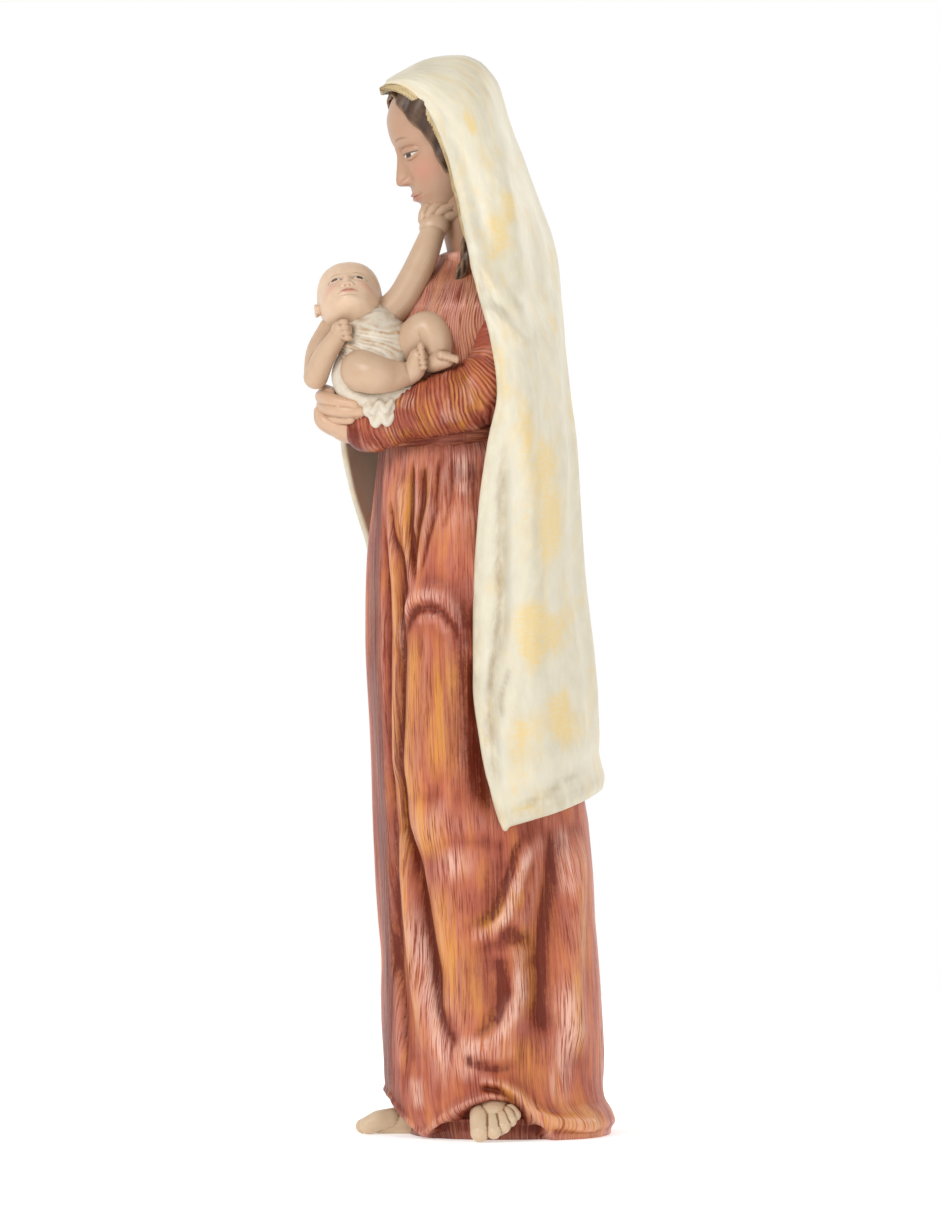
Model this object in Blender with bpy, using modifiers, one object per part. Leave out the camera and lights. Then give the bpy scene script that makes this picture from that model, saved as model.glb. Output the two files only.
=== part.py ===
"""Painted cast figure of a standing mother holding a child, one solid piece.

Frame: metres, +Z up, ground at z = 0, the mother's face looks along -Y, her left side is +X.
Every length below is written in shares of the figure's height: one share is HEIGHT / 600.
"""
import bmesh
import bpy
import numpy as np
from mathutils import Euler, Matrix, Vector

# Driving sizes in metres
HEIGHT = 0.600          # ground to the top of the veil
SHARE = HEIGHT / 600.0  # one share of the height
GRAIN = 0.0021          # size of the voxels that fuse the masses into one body
KEEP = 0.050            # share of the fused body's faces that is kept
SINK = 8.0              # how far the masses run below the ground before the flat cut, in shares

NAME = "madonna_and_child"


def clear_scene():
    """Remove every object of the start file."""
    for item in list(bpy.data.objects):
        bpy.data.objects.remove(item, do_unlink=True)


def track(x, knots):
    """Monotone cubic through (x, value) knots, held flat past both ends."""
    table = np.array(sorted(knots), dtype=float)
    xs = table[:, 0]
    ys = table[:, 1]
    gap = np.diff(xs)
    slope = np.diff(ys) / gap
    rise = np.zeros(len(xs))
    rise[0] = slope[0]
    rise[-1] = slope[-1]
    both = slope[:-1] * slope[1:]
    total = slope[:-1] + slope[1:]
    total = np.where(np.abs(total) < 1e-12, 1.0, total)
    rise[1:-1] = np.where(both > 0.0, 2.0 * both / total, 0.0)
    x = np.asarray(x, dtype=float)
    i = np.clip(np.searchsorted(xs, x) - 1, 0, len(gap) - 1)
    t = np.clip((x - xs[i]) / gap[i], 0.0, 1.0)
    a = (1.0 + 2.0 * t) * (1.0 - t) ** 2
    b = t * (1.0 - t) ** 2
    c = t * t * (3.0 - 2.0 * t)
    d = t * t * (t - 1.0)
    return a * ys[i] + b * gap[i] * rise[i] + c * ys[i + 1] + d * gap[i] * rise[i + 1]


def ease(lo, hi, x):
    """Smooth step from 0 at lo to 1 at hi."""
    t = np.clip((x - lo) / (hi - lo), 0.0, 1.0)
    return t * t * (3.0 - 2.0 * t)


# The dress, stations by height: front and back reach along Y, reach towards +X and towards -X
FRONT = ((-8, -52), (6, -53.5), (21, -56.5), (35, -57.8), (51, -58), (74, -57), (96, -56.6), (118, -58),
         (140, -59.2), (163, -60.2), (222, -62.6), (277, -65.6), (344, -63.4), (380, -60), (392, -52),
         (412, -49), (440, -48), (462, -44), (478, -39), (488, -33), (496, -27))
BACK = ((-8, 70), (3, 70.5), (7, 72.6), (12, 71), (20, 67.4), (29, 66.6), (51, 66), (74, 65.2), (96, 63.8),
        (118, 62.4), (140, 61), (163, 58.6), (189, 56), (266, 54), (321, 48), (377, 42), (392, 32),
        (412, 33), (440, 36), (462, 34), (478, 28), (488, 18), (496, 6))
NEAR = ((-8, 66), (3, 66), (9, 69), (16, 67), (30, 65), (100, 62), (173, 61), (250, 59),
        (300, 56), (345, 51), (377, 44), (392, 38), (412, 42), (440, 47), (462, 48), (476, 38),
        (488, 22), (496, 14))
FAR = ((-8, 64), (3, 64), (9, 67), (16, 65), (30, 63), (100, 61), (173, 60), (250, 59),
       (300, 57), (345, 52), (377, 45), (392, 40), (412, 44), (440, 50), (462, 50), (476, 38),
       (488, 22), (496, 14))
DRESS_TOP = 497.0
ROUNDNESS = 2.25   # superellipse exponent of the dress sections
UNROLL = 60.0      # shares per radian where folds are laid out on the unrolled dress
DRESS_ROWS = ((-SINK, 40.0, 22), (43.0, 380.0, 96), (383.0, DRESS_TOP, 36))
DRESS_COLUMNS = 180
EDGE_ON = 0.995    # share of the section's half depth past which its side turns away


def dress_axes(z):
    """Centre and half sizes of the dress section at height z."""
    front = track(z, FRONT)
    back = track(z, BACK)
    near = track(z, NEAR)
    far = track(z, FAR)
    return (near - far) / 2.0, (front + back) / 2.0, (near + far) / 2.0, (back - front) / 2.0


def side_angle(y, z):
    """Angle round the dress, on its near side, of the point seen at (y, z) from +X."""
    _, mid, _, half = dress_axes(z)
    s = np.clip((y - mid) / half, -EDGE_ON, EDGE_ON)
    s = np.sign(s) * np.abs(s) ** (ROUNDNESS / 2.0)
    return np.arcsin(s)


FOLD_FADE = 0.18   # share of a fold's length over which each of its ends dies out


def stroke(a, z, points, width, depth):
    """A carved fold that follows points (a, z) on the unrolled cloth, a bell of this width across."""
    points = np.array(points, dtype=float)
    seg = np.hypot(*(points[1:] - points[:-1]).T)
    total = seg.sum()
    best = np.full(np.shape(a), 1e9)
    along = np.zeros(np.shape(a))
    run = 0.0
    for i in range(len(seg)):
        p = points[i]
        d = (points[i + 1] - p) / seg[i]
        t = np.clip((a - p[0]) * d[0] + (z - p[1]) * d[1], 0.0, seg[i])
        da = a - p[0] - d[0] * t
        dz = z - p[1] - d[1] * t
        dist = np.hypot(da, dz)
        near = dist < best
        best = np.where(near, dist, best)
        along = np.where(near, (run + t) / total, along)
        run += seg[i]
    grow = ease(0.0, FOLD_FADE, along) * ease(0.0, FOLD_FADE, 1.0 - along)
    return depth * grow * np.exp(-(best / width) ** 2)


# Folds of the dress that face +X, given where they are seen from that side: width, depth, path
NEAR_FOLDS = (
    (6.0, 4.5, ((-51, 371), (-49, 322), (-47, 277), (-49, 222), (-46, 167), (-40, 117), (-36, 73), (-29, 29))),
    (5.0, -6.0, ((-45, 290), (-45, 222), (-45, 181), (-39, 157), (-30, 105), (-20, 74), (-14, 58))),
    (5.0, -4.5, ((-56, 344), (-57, 288), (-56, 233), (-53, 189), (-52, 134), (-50, 79), (-45, 35))),
    (6.0, 3.5, ((-51, 156), (-50, 131), (-47, 99), (-45, 61), (-42, 29), (-39, 10))),
    (20.0, 6.5, ((-17, 335), (-24, 288), (-28, 233), (-30, 173))),
    (13.0, 5.5, ((-31, 180), (-25, 134), (-14, 90), (-3, 57), (4, 29))),
    (6.0, 4.0, ((25, 164), (20, 150), (15, 137), (9, 121), (-8, 110))),
    (5.0, -3.0, ((17, 172), (13, 151), (8, 138), (1, 128))),
    (6.0, 4.0, ((19, 110), (18, 93), (15, 74), (7, 57), (-2, 53))),
    (6.0, -4.0, ((41, 165), (39, 134), (35, 101), (30, 51), (28, 36))),
    (5.0, -3.5, ((30, 95), (25, 78), (18, 61), (8, 49))),
    (8.0, 4.0, ((53, 150), (52, 134), (50, 87), (49, 67), (50, 49), (47, 30))),
    (5.0, 5.0, ((-6, 33), (7, 35), (18, 27), (30, 15), (44, 8), (60, 7))),
    (4.0, -3.5, ((-39, 373), (-39, 349), (-36, 327), (-40, 304))),
    (4.0, 3.0, ((-45, 284), (-41, 293), (-35, 298), (-28, 298), (-21, 294), (-14, 284), (-8, 272))),
    (4.0, -3.0, ((-38, 285), (-33, 289), (-27, 288), (-20, 280))),
    (5.0, 2.5, ((-8, 231), (-14, 222), (-19, 205), (-25, 189), (-33, 181))),
)

# Folds of the far side and the front and back, by angle in degrees: width, depth, path
ROUND_FOLDS = (
    (8.0, 4.5, ((-100, 375), (-104, 280), (-100, 180), (-104, 90), (-100, 20))),
    (6.0, -5.0, ((-112, 360), (-116, 260), (-113, 160), (-118, 70), (-114, 25))),
    (11.0, 5.0, ((-135, 370), (-138, 280), (-132, 190), (-136, 90), (-134, 15))),
    (6.0, -4.5, ((-152, 350), (-156, 250), (-150, 150), (-154, 50))),
    (9.0, 4.0, ((-170, 240), (-168, 180), (-172, 100), (-168, 15))),
    (6.0, -4.0, ((168, 200), (172, 130), (166, 60), (170, 20))),
    (9.0, 4.0, ((152, 200), (155, 120), (150, 50), (152, 10))),
    (6.0, -4.0, ((136, 200), (133, 120), (138, 50), (135, 20))),
    (9.0, 4.0, ((118, 200), (121, 120), (116, 50), (118, 10))),
    (6.0, -4.0, ((102, 200), (99, 120), (103, 50), (100, 20))),
    (9.0, 3.5, ((86, 200), (84, 120), (87, 50), (85, 10))),
)


def dress_folds(theta, z):
    """Height of the carving over the plain dress at angle theta and height z."""
    a = (theta + np.pi) % (2.0 * np.pi) - np.pi
    out = np.zeros(np.shape(a))
    for width, depth, path in NEAR_FOLDS:
        laid = [(side_angle(y, h) * UNROLL, h) for y, h in path]
        out += stroke(a * UNROLL, z, laid, width, depth)
    for width, depth, path in ROUND_FOLDS:
        laid = [(np.radians(d) * UNROLL, h) for d, h in path]
        out += stroke(a * UNROLL, z, laid, width, depth)
    return out


def grid_faces(rows, cols, closed):
    """Quads of a rows x cols grid, wrapped round its columns when closed."""
    i, j = np.meshgrid(np.arange(rows - 1), np.arange(cols if closed else cols - 1), indexing="ij")
    k = (j + 1) % cols
    quads = np.stack((i * cols + j, i * cols + k, (i + 1) * cols + k, (i + 1) * cols + j), axis=-1)
    return quads.reshape(-1, 4)


def closed_tube(rings):
    """Close a stack of rings (n, m, 3) with a point at each end; returns points and faces."""
    n, m, _ = rings.shape
    verts = np.concatenate((rings.reshape(-1, 3), rings[0].mean(0)[None], rings[-1].mean(0)[None]))
    faces = [tuple(q) for q in grid_faces(n, m, True).tolist()]
    first = n * m
    last = first + 1
    faces += [(first, (j + 1) % m, j) for j in range(m)]
    faces += [(last, (n - 1) * m + j, (n - 1) * m + (j + 1) % m) for j in range(m)]
    return verts, faces


def dress():
    """The dress from below the ground to the collar, a carved superellipse loft."""
    z = np.concatenate([np.linspace(low, high, rows) for low, high, rows in DRESS_ROWS])
    t = np.linspace(0.0, 2.0 * np.pi, DRESS_COLUMNS + 1)[:-1]
    zz, tt = np.meshgrid(z, t, indexing="ij")
    cx, cy, hx, hy = dress_axes(zz)
    c = np.cos(tt)
    s = np.sin(tt)
    power = 2.0 / ROUNDNESS
    lift = dress_folds(tt, zz)
    nx = c / hx
    ny = s / hy
    size = np.hypot(nx, ny)
    x = cx + hx * np.sign(c) * np.abs(c) ** power + lift * nx / size
    y = cy + hy * np.sign(s) * np.abs(s) ** power + lift * ny / size
    return closed_tube(np.stack((x, y, zz), axis=-1))


# The veil and mantle. Above the neck its rows fan out about a pivot behind the chin: the hood's
# tables run by degrees above level, the others by height
PIVOT_Y = -40.0
PIVOT_Z = 500.0
BROW = 103.0       # degrees of the row over the brow
HOOD_TOP = ((0, 77.6), (6, 75.1), (15, 72.4), (25, 72.8), (34, 75.0), (42, 78.2), (50, 83.6), (56, 90.4),
            (61, 97.2), (65, 100.8), (69, 103.4), (73, 104.0), (76.5, 102.8), (83, 99.4), (88, 96.0),
            (92, 92.6), (98, 88.3), (103, 84.6))
HOOD_RIM = ((0, 27.5), (13, 26.7), (46, 31.8), (65, 43), (79, 57), (89, 70), (97, 78), (103, 81))
HOOD_WIDE = ((0, 46), (20, 41), (46, 36), (65, 34), (79, 31.5), (89, 28), (97, 22), (103, 15))
HOOD_TUCK = 19.5
RIM_NEAR = ((165, 11), (172, 10), (189, 4), (217, -2), (250, -6), (288, -6), (344, -3), (382, 2), (410, 7),
            (440, 3), (465, -4), (476, -7), (490, -10), (500, -12.5))
RIM_FAR = ((165, -52), (189, -55), (244, -60), (290, -60), (324, -64.5), (360, -75.5), (388, -80),
           (402, -80), (420, -68), (440, -47), (460, -28), (475, -18), (490, -14), (500, -12.5))
MANTLE_BACK = ((165, 66), (195, 64.5), (217, 63.8), (266, 59.4), (321, 53.4), (377, 50.2), (426, 44.2),
               (452, 43.2), (464, 42.8), (475, 42.2), (486, 40.9), (493, 39.4), (500, 37.6))
MANTLE_MID = ((165, 14), (200, 12), (290, 8), (340, 10), (400, 14), (440, 12), (470, 5), (500, -0.6))
WIDE_NEAR = ((165, 72), (200, 70), (250, 67), (290, 65), (340, 65), (380, 69), (410, 72), (440, 70),
             (460, 64), (475, 57), (490, 50), (500, 46))
WIDE_FAR = ((165, 72), (200, 70), (290, 67), (340, 67), (380, 70), (400, 71), (420, 69), (440, 66),
            (460, 62), (475, 57), (490, 50), (500, 46))
TUCK_NEAR = ((165, 10), (200, 12), (290, 17), (340, 15), (400, 10), (440, 15), (470, 21), (500, 19.5))
TUCK_FAR = ((165, 50), (290, 56), (330, 62), (388, 74), (402, 73), (420, 66), (440, 50), (460, 34),
            (475, 25), (500, 19.5))
HEM = ((0.0, 172), (0.2, 183.5), (0.3, 189), (0.4, 193), (0.5, 196), (0.8, 186), (1.0, 178))
HOOD_SHARE = 0.26  # share of the mantle's rows that lie in the hood
HOOD_MID = 0.25    # where a hood row is widest, between its rim and its top
MANTLE_ROWS = 150
MANTLE_COLUMNS = 97
RIM_THICK = 4.5
FILL_THICK = 16.0  # extra thickness where the body fills the mantle


def mantle_outer(u, v):
    """Outer face of the mantle, u across from near rim to far rim, v from the brow to the hem.

    A hood row lies in a plane through the pivot, turned from upright at the brow to level at the
    neck; the rows below are level. In its plane a row is an arc of two half ellipses.
    """
    hood = v < HOOD_SHARE
    phi = BROW * (1.0 - np.clip(v / HOOD_SHARE, 0.0, 1.0))
    drop = np.clip((v - HOOD_SHARE) / (1.0 - HOOD_SHARE), 0.0, 1.0)
    z = PIVOT_Z - drop * (PIVOT_Z - track(u, HEM))
    top = np.where(hood, track(phi, HOOD_TOP), track(z, MANTLE_BACK) - PIVOT_Y)
    rim = track(phi, HOOD_RIM)
    mid = np.where(hood, rim + HOOD_MID * (top - rim), track(z, MANTLE_MID) - PIVOT_Y)
    tuck_near = np.where(hood, HOOD_TUCK, track(z, TUCK_NEAR))
    tuck_far = np.where(hood, HOOD_TUCK, track(z, TUCK_FAR))
    wide_near = np.where(hood, track(phi, HOOD_WIDE), track(z, WIDE_NEAR))
    wide_far = np.where(hood, track(phi, HOOD_WIDE), track(z, WIDE_FAR))
    rim_near = np.where(hood, rim, track(z, RIM_NEAR) - PIVOT_Y)
    rim_far = np.where(hood, rim, track(z, RIM_FAR) - PIVOT_Y)
    angle = np.radians(-tuck_near + (180.0 + tuck_far + tuck_near) * u)
    c = np.cos(angle)
    s = np.sin(angle)
    wide = np.where(c > 0.0, wide_near, wide_far)
    front_near = (mid - rim_near) / np.sin(np.radians(tuck_near))
    front_far = (mid - rim_far) / np.sin(np.radians(tuck_far))
    reach = np.where(s > 0.0, top - mid, np.where(c > 0.0, front_near, front_far))
    r = mid + reach * s
    turn = np.radians(phi)
    y = PIVOT_Y + r * np.cos(turn)
    z_out = np.where(hood, PIVOT_Z + r * np.sin(turn), z)
    return np.stack((wide * c, y, z_out), axis=-1)


def mantle():
    """The mantle as a closed crescent loft, thin at its rims and thick where the body fills it."""
    u = np.linspace(0.0, 1.0, MANTLE_COLUMNS)
    v = np.linspace(0.0, 1.0, MANTLE_ROWS)
    vv, uu = np.meshgrid(v, u, indexing="ij")
    outer = mantle_outer(uu, vv)
    inward = np.cross(np.gradient(outer, axis=1), np.gradient(outer, axis=0))
    inward /= np.linalg.norm(inward, axis=-1, keepdims=True)
    from_rim = np.minimum(uu, 1.0 - uu)
    thick = RIM_THICK + FILL_THICK * ease(0.05, 0.25, from_rim) * ease(0.0, 0.12, vv)
    inner = outer + inward * thick[..., None]
    loops = np.concatenate((outer, inner[:, ::-1, :]), axis=1)
    n, m, _ = loops.shape
    faces = [tuple(q) for q in grid_faces(n, m, True).tolist()]
    for row, flip in ((0, False), (n - 1, True)):
        for j in range(MANTLE_COLUMNS - 1):
            quad = (row * m + j, row * m + j + 1, row * m + m - 2 - j, row * m + m - 1 - j)
            faces.append(quad[::-1] if flip else quad)
    return loops.reshape(-1, 3), faces


def spline(points, t):
    """Smooth path through points, t from 0 to 1 by chord length."""
    p = np.array(points, dtype=float)
    chord = np.concatenate(([0.0], np.cumsum(np.linalg.norm(np.diff(p, axis=0), axis=1))))
    chord /= chord[-1]
    rise = np.gradient(p, chord, axis=0)
    i = np.clip(np.searchsorted(chord, t) - 1, 0, len(p) - 2)
    gap = (chord[i + 1] - chord[i])[:, None]
    s = ((t - chord[i]) / (chord[i + 1] - chord[i]))[:, None]
    a = (1.0 + 2.0 * s) * (1.0 - s) ** 2
    b = s * (1.0 - s) ** 2 * gap
    c = s * s * (3.0 - 2.0 * s)
    d = s * s * (s - 1.0) * gap
    return a * p[i] + b * rise[i] + c * p[i + 1] + d * rise[i + 1]


CAP_ROWS = 6       # rings in each round cap of a limb


def limb(points, radii, flat=1.0, rings=26, sides=24):
    """A limb along a path between its end centres, closed by a round cap beyond each of them.

    The flat share squeezes its section upright.
    """
    length = np.linalg.norm(np.diff(np.array(points, dtype=float), axis=0), axis=1).sum()
    cap = np.linspace(0.08, np.pi / 2.0, CAP_ROWS + 1)[:-1]
    head = -radii[0] / length * np.cos(cap)
    tail = 1.0 + radii[-1] / length * np.cos(cap)[::-1]
    t = np.concatenate((head, np.linspace(0.0, 1.0, rings), tail))
    mid = spline(points, np.clip(t, 0.0, 1.0))
    ends = spline(points, np.array((0.0, 0.01, 0.99, 1.0)))
    first = (ends[0] - ends[1]) / np.linalg.norm(ends[0] - ends[1])
    last = (ends[3] - ends[2]) / np.linalg.norm(ends[3] - ends[2])
    mid += np.clip(-t, 0.0, None)[:, None] * length * first
    mid += np.clip(t - 1.0, 0.0, None)[:, None] * length * last
    n = len(radii)
    radius = track(t, [(i / (n - 1), r) for i, r in enumerate(radii)])
    radius[:CAP_ROWS] *= np.sin(cap)
    radius[-CAP_ROWS:] *= np.sin(cap)[::-1]
    along = np.gradient(mid, axis=0)
    along /= np.linalg.norm(along, axis=1, keepdims=True)
    up = np.array((0.0, 0.0, 1.0))
    lift = up - (along @ up)[:, None] * along
    lift /= np.linalg.norm(lift, axis=1, keepdims=True)
    wide = np.cross(along, lift)
    a = np.linspace(0.0, 2.0 * np.pi, sides + 1)[:-1]
    ring = np.cos(a)[None, :, None] * wide[:, None, :] + flat * np.sin(a)[None, :, None] * lift[:, None, :]
    return closed_tube(mid[:, None, :] + radius[:, None, None] * ring)


def ball(centre, half, tilt=0.0):
    """An ellipsoid from a round primitive, tilted about X by degrees."""
    place = Matrix.LocRotScale(Vector(centre), Euler((np.radians(tilt), 0.0, 0.0)), Vector(half))
    shape = bmesh.new()
    bmesh.ops.create_uvsphere(shape, u_segments=28, v_segments=18, radius=1.0, matrix=place)
    shape.verts.ensure_lookup_table()
    points = np.array([vert.co for vert in shape.verts])
    faces = [tuple(vert.index for vert in face.verts) for face in shape.faces]
    shape.free()
    return points, faces


NOD = 17.0         # degrees by which the mother bows her head


def mother_masses():
    """Head, hair, neck, arms, hands, belt and feet of the mother."""
    return [
        ball((0, -20.5, 561), (24, 29, 31), NOD),
        ball((0, -32, 543.5), (17.5, 17, 27), NOD),
        limb(((0, -45, 556), (0, -51, 548), (0, -49, 543)), (3.6, 4.2, 3.6), rings=10, sides=12),
        ball((0, -10, 556), (30, 30, 34), NOD),
        limb(((0, -2, 478), (0, -11, 500), (0, -17, 530)), (15, 12.5, 14)),
        limb(((17, -8, 520), (19, -11, 500), (15, -14, 482), (12, -17, 474)), (8, 6, 5, 3)),
        limb(((38, 18, 458), (46, 12, 436), (49, 5, 414)), (17, 17, 16.5)),
        limb(((49, 2, 413), (48, -12, 408), (42, -38, 400), (36, -60, 392)), (17, 17.5, 15.5, 12.5)),
        limb(((36, -62, 391), (32, -74, 392), (26, -83, 396), (18, -88, 401)), (10, 10, 9, 6.5), flat=0.85),
        limb(((33, -77, 398), (37, -73, 403), (38, -67, 406)), (5, 4.6, 4.2), rings=14, sides=12),
        limb(((-40, -14, 460), (-50, -22, 432), (-53, -28, 404)), (17, 16, 15)),
        limb(((-53, -30, 402), (-38, -56, 400), (-16, -74, 399), (4, -82, 403), (24, -85, 405)),
             (15, 14, 10.5, 8.4, 7)),
        limb(((-34, -40, 386), (0, -54, 384), (34, -32, 384), (45, -8, 388), (40, 14, 390)),
             (8, 8, 8, 8, 8), flat=0.9),
        limb(((40, 0, 12), (62, 3, 14), (72, 4, 10)), (14, 14.5, 12), flat=0.72),
        limb(((5, -30, 7), (7, -46, 8), (8, -56, 7), (8.5, -62, 5)), (11, 11, 10.5, 8), flat=0.75),
    ]


def child_masses():
    """Head, body, limbs and wrap of the child."""
    return [
        ball((26, -74, 465.5), (19.5, 19.5, 19.5)),
        ball((34, -74, 461), (13, 15, 12.5)),
        limb(((30, -64, 414), (32, -62, 428), (30, -65, 442), (26, -69, 453)), (14, 20, 19, 12)),
        limb(((26, -85, 447), (31, -92, 434), (35.5, -93.5, 419.5)), (7.5, 7, 6.8)),
        limb(((35.5, -93.5, 419.5), (42, -89, 430), (46, -81, 442)), (6.8, 6.6, 6)),
        ball((47, -79, 445), (6.5, 6.5, 7)),
        limb(((25, -55, 453), (24, -45.5, 463), (21.5, -38.5, 474), (18, -33.5, 487), (13, -30, 500)),
             (9.6, 8.6, 8, 7.4, 7)),
        ball((11, -29, 508), (7.5, 9, 9)),
        limb(((32, -64, 420), (44, -70, 424), (52, -72, 424)), (13, 13, 12.5)),
        limb(((52, -72, 424), (54, -62, 421), (51, -52, 420), (48, -42, 421)), (12.5, 11.5, 9.5, 7.5)),
        limb(((48, -40, 421), (50, -36, 427), (52, -36, 432)), (6.5, 6.5, 5), rings=14, sides=14),
        limb(((32, -50, 426), (40, -38, 440), (43, -32, 446)), (12, 12.5, 13)),
        limb(((43, -31, 446), (46, -28, 438), (46, -28, 431)), (13, 11.5, 8.5)),
        limb(((46, -31, 428), (52, -26, 429), (54, -21, 430)), (6, 6, 4.5), rings=14, sides=14),
        limb(((30, -66, 412), (32, -64, 407), (36, -56, 407), (40, -46, 412)), (12, 12, 10, 8)),
        limb(((34, -76, 419), (37, -73, 411), (40, -62, 408)), (7, 7, 7)),
    ]


def add_object(name, pieces, home):
    """One mesh object that holds every mass in the list."""
    verts = []
    faces = []
    start = 0
    for points, polys in pieces:
        verts.append(points * SHARE)
        faces += [tuple(start + k for k in poly) for poly in polys]
        start += len(points)
    mesh = bpy.data.meshes.new(name)
    mesh.from_pydata(np.concatenate(verts).tolist(), [], faces)
    mesh.update()
    item = bpy.data.objects.new(name, mesh)
    home.objects.link(item)
    return item


CUT_WIDE = 830.0 * SHARE   # side of the square block that trims the underside
CUT_DEEP = 160.0 * SHARE 


def ground_cutter(home):
    """A block below the ground that leaves the underside flat."""
    place = Matrix.LocRotScale(Vector((0.0, 0.0, -CUT_DEEP / 2.0)), None, Vector((CUT_WIDE, CUT_WIDE, CUT_DEEP)))
    block = bmesh.new()
    bmesh.ops.create_cube(block, size=1.0, matrix=place)
    mesh = bpy.data.meshes.new("ground_cutter")
    block.to_mesh(mesh)
    block.free()
    item = bpy.data.objects.new("ground_cutter", mesh)
    item.hide_render = True
    item.display_type = "WIRE"
    home.objects.link(item)
    return item


def paint(item):
    """The coral red of the dress, which covers most of the figure."""
    material = bpy.data.materials.new("painted_resin")
    material.use_nodes = True
    shader = material.node_tree.nodes["Principled BSDF"]
    shader.inputs["Base Color"].default_value = (0.55, 0.16, 0.10, 1.0)
    shader.inputs["Roughness"].default_value = 0.5
    item.data.materials.append(material)


def main():
    clear_scene()
    home = bpy.data.collections.new("religious_statue")
    tools = bpy.data.collections.new("cutters")
    bpy.context.scene.collection.children.link(home)
    bpy.context.scene.collection.children.link(tools)
    body = add_object(NAME, [dress(), mantle()] + mother_masses() + child_masses(), home)
    fuse = body.modifiers.new("fuse", "REMESH")
    fuse.mode = "VOXEL"
    fuse.voxel_size = GRAIN
    thin = body.modifiers.new("thin", "DECIMATE")
    thin.decimate_type = "COLLAPSE"
    thin.ratio = KEEP
    cut = body.modifiers.new("flat_underside", "BOOLEAN")
    cut.operation = "DIFFERENCE"
    cut.solver = "EXACT"
    cut.object = ground_cutter(tools)
    paint(body)


main()
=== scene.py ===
"""Painted looks of the standing mother and child, built over the fixed solid.

Lengths named in shares are 1/600 of the figure's height, as in the solid's own source.
The mother's face looks along -Y, her left side is +X, and the camera stands on the +X side.
"""

import math

import bpy
import numpy as np
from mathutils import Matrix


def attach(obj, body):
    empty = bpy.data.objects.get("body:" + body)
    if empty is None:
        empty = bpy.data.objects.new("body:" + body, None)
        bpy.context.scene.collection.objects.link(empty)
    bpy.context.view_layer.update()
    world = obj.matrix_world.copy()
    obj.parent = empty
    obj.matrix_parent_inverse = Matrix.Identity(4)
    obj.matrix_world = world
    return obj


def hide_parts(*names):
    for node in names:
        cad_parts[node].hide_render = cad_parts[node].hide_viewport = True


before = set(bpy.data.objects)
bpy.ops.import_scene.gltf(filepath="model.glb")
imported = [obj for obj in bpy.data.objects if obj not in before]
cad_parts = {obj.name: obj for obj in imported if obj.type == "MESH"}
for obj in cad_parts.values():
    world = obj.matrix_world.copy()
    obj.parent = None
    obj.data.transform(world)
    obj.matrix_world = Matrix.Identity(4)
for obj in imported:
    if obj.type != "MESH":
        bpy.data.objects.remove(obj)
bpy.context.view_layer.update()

bl_info = {
    "name": "Painted Madonna and Child",
    "version": (1, 0, 0),
    "blender": (4, 5, 0),
    "location": "View3D > Sidebar > Statue",
    "description": "Builds the painted surfaces of a standing draped figure holding an infant",
    "category": "Add Mesh",
}

NODE = "madonna_and_child"
BODY = "root"
HEIGHT = 0.600
SHARE = HEIGHT / 600.0


# Numbers and curves
def track(x, knots):
    """Monotone cubic through (x, value) knots, held flat past both ends."""
    table = np.array(sorted(knots), dtype=float)
    xs = table[:, 0]
    ys = table[:, 1]
    gap = np.diff(xs)
    slope = np.diff(ys) / gap
    rise = np.zeros(len(xs))
    rise[0] = slope[0]
    rise[-1] = slope[-1]
    both = slope[:-1] * slope[1:]
    total = slope[:-1] + slope[1:]
    total = np.where(np.abs(total) < 1e-12, 1.0, total)
    rise[1:-1] = np.where(both > 0.0, 2.0 * both / total, 0.0)
    x = np.asarray(x, dtype=float)
    i = np.clip(np.searchsorted(xs, x) - 1, 0, len(gap) - 1)
    t = np.clip((x - xs[i]) / gap[i], 0.0, 1.0)
    a = (1.0 + 2.0 * t) * (1.0 - t) ** 2
    b = t * (1.0 - t) ** 2
    c = t * t * (3.0 - 2.0 * t)
    d = t * t * (t - 1.0)
    return a * ys[i] + b * gap[i] * rise[i] + c * ys[i + 1] + d * gap[i] * rise[i + 1]


def ease(lo, hi, x):
    """Smooth step from 0 at lo to 1 at hi."""
    t = np.clip((x - lo) / (hi - lo), 0.0, 1.0)
    return t * t * (3.0 - 2.0 * t)


def bell(x, middle, width):
    """Gaussian bump of height 1."""
    return np.exp(-((x - middle) / width) ** 2)


def grain(p, size, seed=0.0):
    """Smooth value noise from 0 to 1: random corners of a lattice of the given cell size, eased between."""
    q = p / np.array(size, dtype=float) + seed * 7.31
    i = np.floor(q)
    f = q - i
    f = f * f * (3.0 - 2.0 * f)

    def corner(dx, dy, dz):
        n = (i[..., 0] + dx) * 127.1 + (i[..., 1] + dy) * 311.7 + (i[..., 2] + dz) * 74.7
        s = np.sin(n) * 43758.5453
        return s - np.floor(s)

    fx, fy, fz = f[..., 0], f[..., 1], f[..., 2]
    low = (corner(0, 0, 0) * (1 - fx) + corner(1, 0, 0) * fx) * (1 - fy)
    low += (corner(0, 1, 0) * (1 - fx) + corner(1, 1, 0) * fx) * fy
    high = (corner(0, 0, 1) * (1 - fx) + corner(1, 0, 1) * fx) * (1 - fy)
    high += (corner(0, 1, 1) * (1 - fx) + corner(1, 1, 1) * fx) * fy
    return low * (1 - fz) + high * fz


def spread(counts, ends):
    """Evenly spaced samples whose density changes from span to span."""
    parts = [np.linspace(ends[i], ends[i + 1], counts[i], endpoint=False) for i in range(len(counts))]
    return np.concatenate(parts + [np.array([ends[-1]], dtype=float)])


def full_turn(count):
    """Angles evenly spaced round a circle."""
    return np.linspace(0.0, 2.0 * np.pi, count + 1)[:-1]


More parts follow.
